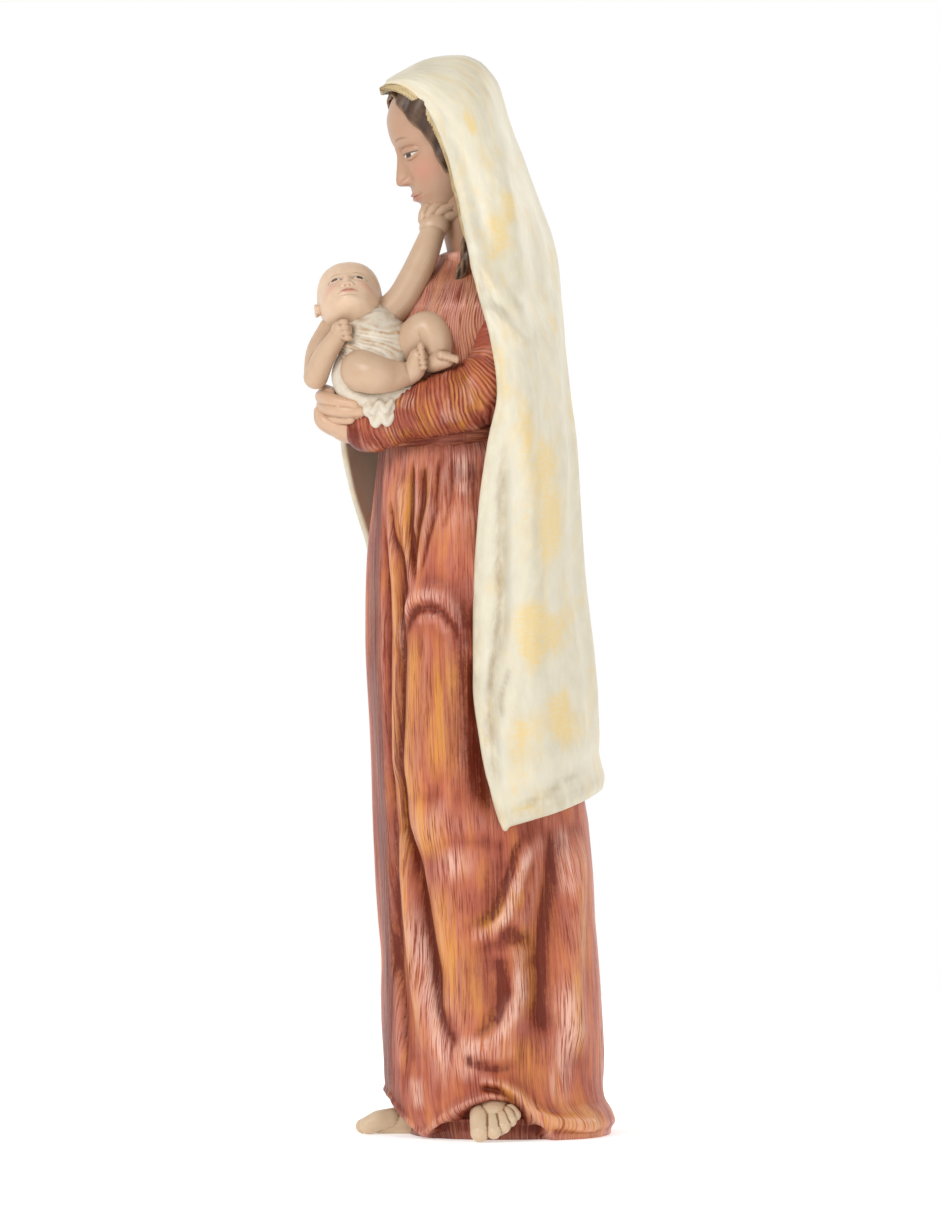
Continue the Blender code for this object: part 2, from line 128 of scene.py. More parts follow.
def lattice(rows, cols):
    """Row and column values at every crossing of a grid."""
    return np.meshgrid(rows, cols, indexing="ij")


def length_of(points):
    """Length of a polyline."""
    return np.linalg.norm(np.diff(np.array(points, dtype=float), axis=0), axis=1).sum()


def unit(vectors):
    """Vectors scaled to length 1."""
    return vectors / np.maximum(np.linalg.norm(vectors, axis=-1, keepdims=True), 1e-9)


def spline(points, t):
    """Smooth path through points, t from 0 to 1 by chord length."""
    p = np.array(points, dtype=float)
    chord = np.concatenate(([0.0], np.cumsum(np.linalg.norm(np.diff(p, axis=0), axis=1))))
    chord /= chord[-1]
    rise = np.gradient(p, chord, axis=0)
    i = np.clip(np.searchsorted(chord, t) - 1, 0, len(p) - 2)
    gap = (chord[i + 1] - chord[i])[:, None]
    s = ((t - chord[i]) / (chord[i + 1] - chord[i]))[:, None]
    a = (1.0 + 2.0 * s) * (1.0 - s) ** 2
    b = s * (1.0 - s) ** 2 * gap
    c = s * s * (3.0 - 2.0 * s)
    d = s * s * (s - 1.0) * gap
    return a * p[i] + b * rise[i] + c * p[i + 1] + d * rise[i + 1]


# Carving
def distances(a, z, points):
    """Distance to a polyline in the (a, z) plane, share of its length run, and which side."""
    points = np.array(points, dtype=float)
    seg = np.hypot(*(points[1:] - points[:-1]).T)
    best = np.full(np.shape(a), 1e9)
    along = np.zeros(np.shape(a))
    side = np.zeros(np.shape(a))
    run = 0.0
    for i in range(len(seg)):
        p = points[i]
        d = (points[i + 1] - p) / seg[i]
        t = np.clip((a - p[0]) * d[0] + (z - p[1]) * d[1], 0.0, seg[i])
        da = a - p[0] - d[0] * t
        dz = z - p[1] - d[1] * t
        dist = np.hypot(da, dz)
        near = dist < best
        best = np.where(near, dist, best)
        along = np.where(near, (run + t) / seg.sum(), along)
        side = np.where(near, np.sign(d[0] * dz - d[1] * da), side)
        run += seg[i]
    return best, along, side


def carve(a, z, width, depth, points, sharp=2.0, lean=0.0, fade=0.16):
    """A fold along a polyline: bell exp(-(d / w)^sharp), leaning to one flank, dying out at both ends.

    The ends die out over the share fade of the length, and never over less than the fold's width.
    """
    best, along, side = distances(a, z, points)
    length = length_of(points)
    fade = min(0.5, max(fade, 1.4 * width / length))
    grow = ease(0.0, fade, along) * ease(0.0, fade, 1.0 - along)
    span = width * (1.0 + lean * side)
    return depth * grow * np.exp(-(best / span) ** sharp)


def volume_of(points, faces):
    """Signed volume enclosed by a closed set of quads and triangles."""
    total = 0.0
    for group in faces:
        p = points[group]
        for k in range(1, group.shape[1] - 1):
            total += np.sum(np.cross(p[:, 0], p[:, k]) * p[:, k + 1])
    return total


def wrapped_normals(grid, wrap):
    """Unit normals of a grid of points, square to its rows and columns."""
    if wrap:
        padded = np.concatenate((grid[:, -1:], grid, grid[:, :1]), axis=1)
        across = (padded[:, 2:] - padded[:, :-2]) / 2.0
    else:
        across = np.gradient(grid, axis=1)
    down = np.gradient(grid, axis=0)
    normal = np.cross(across, down)
    size = np.linalg.norm(normal, axis=-1, keepdims=True)
    return normal / np.where(size < 1e-9, 1.0, size)


def outward(grid, normal):
    """Turn all normals so that on the whole they point away from the middle of the grid."""
    middle = grid.reshape(-1, 3).mean(0)
    return normal if np.sum(normal * (grid - middle)) > 0.0 else -normal


# Meshes
def grid_quads(rows, cols, wrap):
    """Quads of a rows x cols grid, wrapped round its columns when asked."""
    i, j = lattice(np.arange(rows - 1), np.arange(cols if wrap else cols - 1))
    k = (j + 1) % cols
    quads = np.stack((i * cols + j, i * cols + k, (i + 1) * cols + k, (i + 1) * cols + j), axis=-1)
    return quads.reshape(-1, 4)


def closed_tube(rings):
    """Close a stack of rings (n, m, 3) with a point at each end."""
    n, m, _ = rings.shape
    verts = np.concatenate((rings.reshape(-1, 3), rings[0].mean(0)[None], rings[-1].mean(0)[None]))
    j = np.arange(m)
    k = (j + 1) % m
    first = np.stack((np.full(m, n * m), k, j), axis=-1)
    last = np.stack((np.full(m, n * m + 1), (n - 1) * m + j, (n - 1) * m + k), axis=-1)
    return verts, [grid_quads(n, m, True), np.concatenate((first, last))]


def limb_rings(points, radii, flat=1.0, up=(0.0, 0.0, 1.0), rings=26, sides=24, caps=6):
    """Rings of a limb along a path between its end centres, with a round cap beyond each of them.

    Ring k is centre(t) + radius(t) * (wide * cos a + flat * lift * sin a), where lift is the
    up direction made square to the path and wide is square to both.
    """
    length = length_of(points)
    cap = np.sin(np.linspace(0.10, np.pi / 2.0, caps + 1))[:-1]
    head = -radii[0] / length * np.cos(np.arcsin(cap))
    tail = 1.0 + radii[-1] / length * np.cos(np.arcsin(cap))[::-1]
    t = np.concatenate((head, np.linspace(0.0, 1.0, rings), tail))
    mid = spline(points, np.clip(t, 0.0, 1.0))
    ends = spline(points, np.array((0.0, 0.01, 0.99, 1.0)))
    first = (ends[0] - ends[1]) / np.linalg.norm(ends[0] - ends[1])
    last = (ends[3] - ends[2]) / np.linalg.norm(ends[3] - ends[2])
    mid += np.clip(-t, 0.0, None)[:, None] * length * first
    mid += np.clip(t - 1.0, 0.0, None)[:, None] * length * last
    n = len(radii)
    radius = track(t, [(i / (n - 1), r) for i, r in enumerate(radii)])
    radius[:caps] *= cap
    radius[-caps:] *= cap[::-1]
    along = np.gradient(mid, axis=0)
    along /= np.linalg.norm(along, axis=1, keepdims=True)
    up = np.array(up, dtype=float)
    lift = up - (along @ up)[:, None] * along
    lift /= np.linalg.norm(lift, axis=1, keepdims=True)
    wide = np.cross(along, lift)
    a = full_turn(sides)
    ring = np.cos(a)[None, :, None] * wide[:, None, :] + flat * np.sin(a)[None, :, None] * lift[:, None, :]
    return mid[:, None, :] + radius[:, None, None] * ring, t, a


def limb(*args, **kwargs):
    """A closed limb; see limb_rings."""
    return closed_tube(limb_rings(*args, **kwargs)[0])


def ball(centre, half, turn=(0.0, 0.0, 0.0), rings=22, sides=32):
    """An ellipsoid, turned about X, Y and Z by degrees."""
    a = np.linspace(0.06, np.pi - 0.06, rings)
    b = full_turn(sides)
    aa, bb = lattice(a, b)
    p = np.stack((np.sin(aa) * np.cos(bb), np.sin(aa) * np.sin(bb), -np.cos(aa)), axis=-1)
    p = p * np.array(half, dtype=float)
    return closed_tube(p @ turning(turn).T + np.array(centre, dtype=float))


def turning(turn):
    """Rotation matrix for turns about X, then Y, then Z, in degrees."""
    rx, ry, rz = np.radians(turn)
    mx = np.array(((1, 0, 0), (0, np.cos(rx), -np.sin(rx)), (0, np.sin(rx), np.cos(rx))))
    my = np.array(((np.cos(ry), 0, np.sin(ry)), (0, 1, 0), (-np.sin(ry), 0, np.cos(ry))))
    mz = np.array(((np.cos(rz), -np.sin(rz), 0), (np.sin(rz), np.cos(rz), 0), (0, 0, 1)))
    return mz @ my @ mx


def raw_mesh(name, pieces):
    """A mesh that holds every (points, face groups) pair, in metres."""
    verts = []
    groups = []
    start = 0
    for points, faces in pieces:
        verts.append(points * SHARE)
        groups += [np.asarray(f) + start for f in faces]
        start += len(points)
    mesh = bpy.data.meshes.new(name)
    points = np.concatenate(verts)
    mesh.vertices.add(len(points))
    mesh.vertices.foreach_set("co", points.astype(np.float32).ravel())
    sizes = np.concatenate([np.full(len(g), g.shape[1]) for g in groups])
    corners = np.concatenate([g.ravel() for g in groups])
    mesh.loops.add(len(corners))
    mesh.loops.foreach_set("vertex_index", corners.astype(np.int32))
    mesh.polygons.add(len(sizes))
    starts = np.concatenate(([0], np.cumsum(sizes)[:-1]))
    mesh.polygons.foreach_set("loop_start", starts.astype(np.int32))
    mesh.update(calc_edges=True)
    mesh.validate()
    return mesh


def face_out(mesh):
    """Turn a closed mesh right side out by the sign of its volume."""
    mesh.calc_loop_triangles()
    n = len(mesh.loop_triangles)
    tri = np.empty(n * 3, dtype=np.int32)
    mesh.loop_triangles.foreach_get("vertices", tri)
    co = points_of(mesh)[tri.reshape(-1, 3)]
    volume = np.sum(np.cross(co[:, 0], co[:, 1]) * co[:, 2])
    if volume < 0.0:
        mesh.flip_normals()


def points_of(mesh):
    """Vertex places as an (n, 3) array in metres."""
    co = np.empty(len(mesh.vertices) * 3, dtype=np.float32)
    mesh.vertices.foreach_get("co", co)
    return co.reshape(-1, 3).astype(float)


def fused(name, pieces, voxel, rounds):
    """Masses joined by a voxel remesh and eased by a smooth modifier, as a new mesh."""
    out = []
    for points, faces in pieces:
        flip = volume_of(points, faces) < 0.0
        out.append((points, [group[:, ::-1] if flip else group for group in faces]))
    joined = raw_mesh(name + "_raw", out)
    item = add_object(name + "_raw", joined)
    fuse = item.modifiers.new("fuse", "REMESH")
    fuse.mode = "VOXEL"
    fuse.voxel_size = voxel * SHARE
    soft = item.modifiers.new("soften", "SMOOTH")
    soft.factor = 0.5
    soft.iterations = rounds
    graph = bpy.context.evaluated_depsgraph_get()
    mesh = bpy.data.meshes.new_from_object(item.evaluated_get(graph))
    mesh.name = name
    bpy.data.objects.remove(item)
    bpy.data.meshes.remove(joined)
    return mesh


def relief(mesh, rounds=14, span=0.8):
    """Signed relief at each vertex, about -1 in creases to +1 on ridges.

    The mesh is smoothed by repeated neighbour averages; how far each point stands out of the
    smoothed one along its normal, over span shares, is its relief.
    """
    edges = np.empty(len(mesh.edges) * 2, dtype=np.int32)
    mesh.edges.foreach_get("vertices", edges)
    edges = edges.reshape(-1, 2)
    co = points_of(mesh)
    n = len(co)
    a = np.concatenate((edges[:, 0], edges[:, 1]))
    b = np.concatenate((edges[:, 1], edges[:, 0]))
    degree = np.maximum(np.bincount(a, minlength=n), 1)
    soft = co.copy()
    for _ in range(rounds):
        mean = np.stack([np.bincount(a, weights=soft[b, k], minlength=n) for k in range(3)], axis=-1)
        soft = 0.4 * soft + 0.6 * mean / degree[:, None]
    normal = np.empty(n * 3, dtype=np.float32)
    mesh.vertex_normals.foreach_get("vector", normal)
    out = np.sum((co - soft) * normal.reshape(-1, 3), axis=-1) / (span * SHARE)
    return np.clip(out, -1.5, 1.5)


def attribute(mesh, name, values):
    """Store one number per vertex."""
    layer = mesh.attributes.new(name, "FLOAT", "POINT")
    layer.data.foreach_set("value", np.asarray(values, dtype=np.float32).ravel())


def tint(mesh, colours):
    """Store one linear colour per vertex in the layer called paint."""
    layer = mesh.attributes.new("paint", "FLOAT_COLOR", "POINT")
    full = np.concatenate((colours, np.ones((len(colours), 1))), axis=1)
    layer.data.foreach_set("color", full.astype(np.float32).ravel())


def capped(values):
    """Values of a closed tube's grid, with one more for each of its two end points."""
    ends = (values[0].mean(0)[None], values[-1].mean(0)[None])
    return np.concatenate((values.reshape((-1,) + values.shape[2:]),) + ends)


def flow(mesh, across, along, seed=0.0):
    """Store brush coordinates in shares: across the strokes, along them, and an offset of its own."""
    layer = mesh.attributes.new("flow", "FLOAT_VECTOR", "POINT")
    full = np.stack((across, along, np.full(np.shape(across), float(seed))), axis=-1)
    layer.data.foreach_set("vector", full.astype(np.float32).ravel())


def add_object(name, data):
    """A new object at the origin, linked to the scene."""
    item = bpy.data.objects.new(name, data)
    bpy.context.scene.collection.objects.link(item)
    return item


def finish_piece(name, mesh, kind):
    """Shade the mesh smooth, make it an object of one finish and tell the frame what it stands for."""
    face_out(mesh)
    mesh.shade_smooth()
    mesh.materials.clear()
    mesh.materials.append(finish(kind))
    item = add_object(name, mesh)
    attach(item, BODY)
    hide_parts(NODE)


def linear(red, green, blue):
    """Linear colour from 0 to 255 display values."""
    c = np.array((red, green, blue)) / 255.0
    return tuple(np.where(c <= 0.04045, c / 12.92, ((c + 0.055) / 1.055) ** 2.4))


# Finishes
class Paint:
    """A material in the making, with short calls for the nodes that the finishes share."""

    def __init__(self, name, roughness, specular):
        self.material = bpy.data.materials.new(name)
        self.material.use_nodes = True
        self.nodes = self.material.node_tree.nodes
        self.links = self.material.node_tree.links
        self.shader = self.nodes["Principled BSDF"]
        self.feed(self.shader, {"Roughness": roughness, "Specular IOR Level": specular})

    def feed(self, node, values):
        """Link sockets to a node's inputs, or set them to numbers or colours."""
        for key, value in values.items():
            socket = node.inputs[key]
            if isinstance(value, bpy.types.NodeSocket):
                self.links.new(value, socket)
            elif isinstance(value, (int, float)):
                socket.default_value = value
            else:
                socket.default_value = (*value, 1.0)

    def stored(self, name, output="Fac"):
        """Socket of a stored mesh attribute."""
        node = self.nodes.new("ShaderNodeAttribute")
        node.attribute_name = name
        return node.outputs[output]

    def times(self, one, two, clamp=False, kind="MULTIPLY"):
        """Product of sockets or numbers, or another operation on them."""
        node = self.nodes.new("ShaderNodeMath")
        node.operation = kind
        node.use_clamp = clamp
        self.feed(node, {0: one, 1: two})
        return node.outputs[0]

    def plus(self, one, two):
        """Sum of sockets or numbers."""
        return self.times(one, two, kind="ADD")

    def steps(self, value, lo, hi):
        """Remap a value from lo..hi to 0..1, clamped."""
        node = self.nodes.new("ShaderNodeMapRange")
        self.feed(node, {"Value": value, "From Min": lo, "From Max": hi})
        return node.outputs["Result"]

    def mix(self, factor, under, over):
        """Blend of two colours."""
        node = self.nodes.new("ShaderNodeMix")
        node.data_type = "RGBA"
        self.feed(node, {0: factor, 6: under, 7: over})
        return node.outputs[2]

    def lay(self, under, over, mask, strength, clamp=False):
        """A colour brushed over another where the mask is high."""
        return self.mix(self.times(mask, strength, clamp), under, over)

    def noise(self, cells, detail=4.0, rough=0.6):
        """Noise with cells of the given sizes in shares, on the stored brush coordinates."""
        return self.field(self.stored("flow", "Vector"), [1.0 / c for c in cells], detail, rough)

    def solid_noise(self, cells, detail=4.0, rough=0.6):
        """Noise with cells of the given sizes in shares, on object coordinates."""
        place = self.nodes.new("ShaderNodeTexCoord").outputs["Object"]
        return self.field(place, [1.0 / (c * SHARE) for c in cells], detail, rough)

    def field(self, place, scale, detail, rough):
        """Noise on the given coordinates."""
        turn = self.nodes.new("ShaderNodeMapping")
        self.links.new(place, turn.inputs["Vector"])
        turn.inputs["Scale"].default_value = scale
        node = self.nodes.new("ShaderNodeTexNoise")
        self.feed(node, {"Vector": turn.outputs["Vector"], "Scale": 1.0, "Detail": detail,
                         "Roughness": rough})
        return node.outputs["Fac"]

    def done(self, colour, height=None, strength=0.0, distance=0.0):
        """Set the colour, and a fine surface tooth where a height is given."""
        self.links.new(colour, self.shader.inputs["Base Color"])
        if height is not None:
            node = self.nodes.new("ShaderNodeBump")
            self.feed(node, {"Strength": strength, "Distance": distance, "Height": height})
            self.links.new(node.outputs["Normal"], self.shader.inputs["Normal"])
        return self.material


def dimmed(colour, share):
    """A colour at a share of its strength."""
    return tuple(share * c for c in colour)


def dress_paint(tones):
    """Coral red with streaky golden brushing, pale brushing and painted highlights on the ridges, and a dark
    wash with painted shade in the folds and in the skirt's shaded places.
    """
    p = Paint("dress_paint", 0.33, 0.20)
    hollow, ridge, gold, pale_and_highlight, shade = map(p.stored, ("hollow", "ridge", "gold", "pale_and_highlight", "shade"))
    streak = p.noise((1.5, 55.0, 1.0))
    thin = p.noise((0.7, 20.0, 1.0), 3.0)
    broad = p.noise((10.0, 40.0, 1.0), 3.0, 0.5)
    speck = p.noise((1.6, 4.0, 1.0), 6.0, 0.8)
    colour = p.mix(p.steps(broad, 0.36, 0.62), dimmed(tones.dress, 0.78), tones.dress)
    gilt = p.plus(gold, p.times(p.steps(broad, 0.46, 0.66), 0.45))
    gilt = p.times(gilt, p.steps(streak, 0.36, 0.53), True)
    colour = p.lay(colour, tones.dress_gold, gilt, 0.85)
    # Pale brushing and painted highlights on the ridges and along the highlight strokes.
    lights = p.times(p.plus(p.times(ridge, 0.50), pale_and_highlight), p.steps(thin, 0.40, 0.55), True)
    colour = p.lay(colour, tones.dress_pale_and_highlight, lights, 0.80)
    grit = p.times(p.steps(speck, 0.42, 0.58), 0.30)
    patchy = p.plus(grit, p.times(p.steps(streak, 0.58, 0.42), 0.50))
    # Dark wash with painted shade in the hollows and along the painted shade strokes.
    dark = p.times(p.times(p.plus(hollow, shade), 1.15), p.plus(patchy, 0.34), True)
    colour = p.lay(colour, tones.dress_wash_and_shade, dark, 0.90)
    scratch = p.times(p.steps(thin, 0.47, 0.38), p.steps(broad, 0.64, 0.42))
    colour = p.lay(colour, linear(118, 48, 30), scratch, 0.75)
    return p.done(colour, p.plus(thin, streak), 0.50, 0.0009)


def mantle_paint(tones):
    """Warm cream with soft patches of golden yellow, painted highlights on the ridges and rims, and an olive
    wash with painted shade in the creases.
    """
    p = Paint("mantle_paint", 0.42, 0.4)
    hollow, ridge, gold, shade = map(p.stored, ("hollow", "ridge", "gold", "shade"))
    cloud = p.noise((7.0, 14.0, 1.0), 5.0)
    hatch = p.noise((7.0, 1.8, 1.0), 5.0, 0.7)
    patch = p.noise((13.0, 30.0, 1.0), 6.0, 0.68)
    colour = p.mix(p.steps(cloud, 0.30, 0.70), dimmed(tones.mantle, 0.90), tones.mantle)
    warm = p.steps(p.plus(p.times(gold, 0.34), patch), 0.50, 0.80)
    warm = p.times(warm, p.plus(p.steps(hatch, 0.34, 0.60), 0.40), True)
    colour = p.lay(colour, tones.mantle_gold, warm, 0.80)
    # Painted highlights on the ridges and rolled rims.
    colour = p.lay(colour, linear(234, 231, 221), ridge, 0.55)
    # Olive wash with painted shade in the creases and along the shade strokes.
    dark = p.plus(p.times(hollow, 0.50), shade)
    dark = p.times(dark, p.plus(p.steps(cloud, 0.66, 0.36), 0.35), True)
    colour = p.lay(colour, linear(140, 112, 66), dark, 0.72)
    return p.done(colour, cloud, 0.20, 0.0010)


def skin_paint(tones):
    """Smooth tan skin, mottled a little over the colour of the paint layer."""
    p = Paint("skin_paint", 0.38, 0.45)
    mottle = p.steps(p.solid_noise((8.0, 8.0, 8.0)), 0.40, 0.75)
    return p.done(p.lay(p.stored("paint", "Color"), linear(178, 128, 92), mottle, 0.22))


def hair_paint(tones):
    """Dark brown with a lighter brushing and painted highlights on the locks."""
    p = Paint("hair_paint", 0.42, 0.4)
    streak = p.solid_noise((1.2, 1.2, 5.0))
    colour = p.mix(p.steps(streak, 0.3, 0.7), dimmed(tones.hair, 0.55), tones.hair)
    # Lighter brushing with painted highlights on the ridges of the locks.
    colour = p.lay(colour, linear(150, 114, 82), p.stored("ridge"), 0.75, True)
    return p.done(colour, streak, 0.3, 0.0004)


def cloth_paint(tones):
    """Off-white wrap with painted highlights on its ridges and an ochre wash with painted shade in its
    creases.
    """
    p = Paint("cloth_paint", 0.5, 0.35)
    mottle = p.solid_noise((5.0, 5.0, 5.0))
    colour = p.mix(p.steps(mottle, 0.35, 0.7), dimmed(tones.cloth, 0.84), tones.cloth)
    # Painted highlights on the ridges.
    colour = p.lay(colour, linear(236, 228, 214), p.stored("ridge"), 0.5, True)
    # Ochre wash with painted shade in the creases.
    dark = p.times(p.stored("hollow"), p.steps(mottle, 0.7, 0.35), True)
    return p.done(p.lay(colour, linear(172, 122, 68), dark, 0.95))


MAKERS = {"dress": dress_paint, "mantle": mantle_paint, "skin": skin_paint, "hair": hair_paint,
          "cloth": cloth_paint}
FINISHES = {}


def finish(kind):
    """The material of a kind, made once and shared."""
    if kind not in FINISHES:
        FINISHES[kind] = MAKERS[kind](bpy.context.scene.statue_colours)
    return FINISHES[kind]


def painted_cloth(mesh, gold=0.0, pale_and_highlight=0.0, shade=0.0, rounds=14, span=0.8, broad=0, wash_and_shade=0.8):
    """Store the layers that the cloth finishes read: hollow, ridge, and the given gold, pale and shade, the
    last two carrying painted highlights and painted shade.
    """
    level = relief(mesh, rounds, span)
    count = len(level)
    # Hollows carry the dark wash with painted shade, ridges the painted highlights.
    hollow = wash_and_shade * np.clip(-level, 0.0, 1.2)
    ridge = 0.8 * np.clip(level, 0.0, 1.2)
    if broad:
        # Broad hollows and rises add painted shade and painted highlights over whole folds.
        wide = relief(mesh, broad, span * 2.6)
        hollow = 0.8 * hollow + 0.40 * wash_and_shade * np.clip(-wide, 0.0, 1.2)
        ridge = 0.7 * ridge + 0.35 * np.clip(wide, 0.0, 1.2)
    attribute(mesh, "hollow", np.clip(hollow, 0.0, 1.0))
    attribute(mesh, "ridge", np.clip(ridge, 0.0, 1.0))
    attribute(mesh, "gold", np.clip(gold, 0.0, 1.0) * np.ones(count))
    attribute(mesh, "pale_and_highlight", np.clip(pale_and_highlight, 0.0, 1.0) * np.ones(count))
    attribute(mesh, "shade", np.clip(shade, 0.0, 1.0) * np.ones(count))


SKIN = linear(201, 166, 137)
# Brown of the wash and painted shade in the skin's creases.
SKIN_WASH_AND_SHADE = linear(128, 84, 50)
SKIN_ROSE = linear(204, 142, 120)
FOOT = linear(208, 184, 152)


def painted_skin(mesh, wash_and_shade=1.0, rounds=10, span=0.7, base=SKIN):
    """Colour plain skin: brown wash with painted shade in the creases, rose on what stands out."""
    level = relief(mesh, rounds, span)
    hollow = np.clip(-level * wash_and_shade, 0.0, 1.0)[:, None]
    ridge = np.clip(level, 0.0, 1.0)[:, None]
    colour = np.array(base) * (1.0 - hollow) + np.array(SKIN_WASH_AND_SHADE) * hollow
    colour = colour * (1.0 - 0.22 * ridge) + np.array(SKIN_ROSE) * 0.22 * ridge
    tint(mesh, colour)


# The dress: stations by height of its reach to the front, to the back, towards +X and towards -X
FRONT = ((-1, -50), (6, -52.5), (21, -55.2), (35, -56.6), (51, -56.8), (74, -55.6), (96, -55), (118, -56.4),
         (140, -57.6), (163, -58.6), (222, -61), (277, -63.6), (344, -61.6), (380, -59), (392, -52),
         (412, -49), (440, -48), (462, -44), (478, -39), (488, -33), (496, -27))
BACK = ((-1, 70), (3, 70.5), (7, 72.6), (12, 71), (20, 66.8), (29, 65.4), (51, 64.8), (74, 63.8), (96, 62.2),
        (118, 61), (140, 59.8), (163, 57.6), (189, 55.4), (266, 54), (321, 48), (377, 42), (392, 32),
        (412, 33), (440, 36), (462, 34), (478, 28), (488, 18), (496, 6))
NEAR = ((-1, 66), (3, 66), (9, 69), (16, 67), (30, 65), (100, 62), (173, 61), (250, 59),
        (300, 56), (345, 51), (377, 44), (392, 38), (412, 42), (440, 47), (462, 48), (476, 38), (488, 22),
        (496, 14))
FAR = ((-1, 64), (3, 64), (9, 67), (16, 65), (30, 63), (100, 61), (173, 60), (250, 59),
       (300, 57), (345, 52), (377, 45), (392, 40), (412, 44), (440, 50), (462, 50), (476, 38), (488, 22),
       (496, 14))
ROUNDNESS = 2.25
UNROLL = 60.0


def dress_axes(z):
    """Centre and half sizes of the dress section at height z."""
    front = track(z, FRONT)
    back = track(z, BACK)
    near = track(z, NEAR)
    far = track(z, FAR)
    return (near - far) / 2.0, (front + back) / 2.0, (near + far) / 2.0, (back - front) / 2.0


def side_angle(y, z):
    """Angle round the dress, on its near side, of the point seen at (y, z) from +X."""
    _, mid, _, half = dress_axes(z)
    return np.arcsin(bent(np.clip((y - mid) / half, -0.995, 0.995), ROUNDNESS / 2.0))


def seen_path(path):
    """A path given as seen from +X, laid on the unrolled dress."""
    return [(float(side_angle(y, z)) * UNROLL, z) for y, z in path]


def round_path(path):
    """A path given by degrees round the dress, laid on the unrolled dress."""
    return [(math.radians(d) * UNROLL, z) for d, z in path]


# Folds on the near side: width, depth, sharpness, path seen from +X and, for two of them, lean
MAIN_RIDGE = ((-53, 366), (-51, 322), (-50, 277), (-49.5, 222), (-49, 189), (-46, 145), (-41, 101),
              (-36, 62), (-31, 29))
LAYER_EDGE = ((-56, 354), (-56.3, 277), (-55.7, 244), (-54.6, 211), (-53, 169), (-51.8, 133), (-50.7, 96),
              (-46, 46), (-43, 14))
NEAR_FOLDS = (
    (5.5, 4.0, 2.0, MAIN_RIDGE),
    (9.0, -5.0, 1.6, LAYER_EDGE, 0.82),
    (4.6, -6.0, 1.5, ((-47, 338), (-46, 309), (-46, 279), (-46, 234), (-47, 193), (-46, 171), (-40, 150),
                      (-36, 133),
                           (-29, 96), (-25, 73), (-20, 60), (-13, 51), (-4, 45), (7, 43))),
    (9.0, -5.0, 2.0, ((-47, 210), (-45, 171), (-40, 150), (-36, 133), (-29, 96), (-24, 72))),
    (21.0, 8.5, 2.2, ((-10, 372), (-17, 321), (-26, 250), (-31, 200), (-26, 150))),
    (17.0, 6.5, 2.2, ((-28, 190), (-22, 158), (-17, 112), (-9, 62), (-4, 30))),
    (5.4, -0.9, 1.9, ((-24, 167), (-14, 165), (-2, 164), (14, 158))),
    (3.6, 3.8, 1.8, ((25, 166), (20, 150), (15, 137), (10, 122), (2, 114), (-10, 110))),
    (2.2, -2.0, 1.8, ((19, 166), (15, 149), (10, 136), (5, 124), (-3, 117))),
    (9.0, 3.0, 2.0, ((32, 172), (27, 146), (20, 126), (12, 112))),
    (4.6, -2.2, 1.9, ((8, 104), (10, 90), (9, 76), (4, 62), (-4, 53))),
    (5.6, 4.8, 1.9, ((20, 112), (17, 95), (18, 80), (12, 65), (3, 52), (-8, 48))),
    (8.0, -4.2, 1.9, ((38, 178), (36, 137), (31, 96), (30, 74), (35, 50))),
    (6.0, 2.0, 2.0, ((26, 100), (24, 78), (18, 60), (9, 46))),
    (10.0, 5.0, 2.0, ((50, 172), (48, 120), (47, 82), (50, 40))),
    (2.4, -1.3, 2.0, ((-12, 46), (-4, 42), (5, 40), (14, 41))),
    (3.4, 1.6, 2.0, ((-16, 54), (-4, 48.5), (7, 46), (18, 49))),
    (3.4, 4.6, 1.8, ((-9, 33), (2, 32.5), (10, 30), (17.5, 25), (27, 15), (36, 10.5), (52, 8), (64, 7)), 0.2),
    (1.9, -3.0, 1.7, ((-4, 29), (4, 28.5), (10, 26), (16, 21), (22, 14))),
    (2.2, -3.0, 1.6, ((-40, 376), (-40, 352), (-40, 336), (-38, 320), (-36, 302))),
    (1.8, -2.4, 1.6, ((-52, 354), (-50, 332), (-45, 314), (-42, 300))),
    (1.8, -2.4, 1.6, ((-34, 374), (-33, 350), (-36, 330), (-38, 312))),
    (1.5, -1.8, 1.6, ((-26, 376), (-25, 346), (-30, 326), (-34, 306))),
    (1.4, -1.4, 1.6, ((-17, 376), (-18, 352), (-22, 332))),
    (2.8, 2.6, 1.8, ((-46, 366), (-45, 340), (-42, 320), (-39, 300))),
    (2.2, 1.8, 1.8, ((-37, 376), (-37, 350), (-38, 330))),
    (2.4, 1.6, 1.8, ((-30, 376), (-29, 350), (-33, 326))),
    (5.5, 2.6, 1.9, ((-22, 378), (-27, 345), (-33, 322), (-38, 300), (-43, 280))),
    (4.4, 3.0, 1.9, ((-48, 264), (-45, 282), (-40, 293), (-34, 298), (-28, 299), (-21, 297), (-15, 288),
                     (-9, 274), (-4, 256))),
    (2.2, -2.2, 1.8, ((-43, 277), (-40, 286), (-35, 291.5), (-28, 293), (-22, 290), (-16, 281), (-12, 272))),
    (2.6, 1.4, 1.9, ((-36, 284), (-30, 287), (-24, 286), (-18, 277))),
    (4.4, 1.2, 1.9, ((-2, 236), (-8, 220), (-14, 203), (-20, 186), (-26, 170))),
    (5.0, -4.2, 1.9, ((-6, 300), (-6, 255), (-5, 225), (-1, 200), (4, 174))),
)

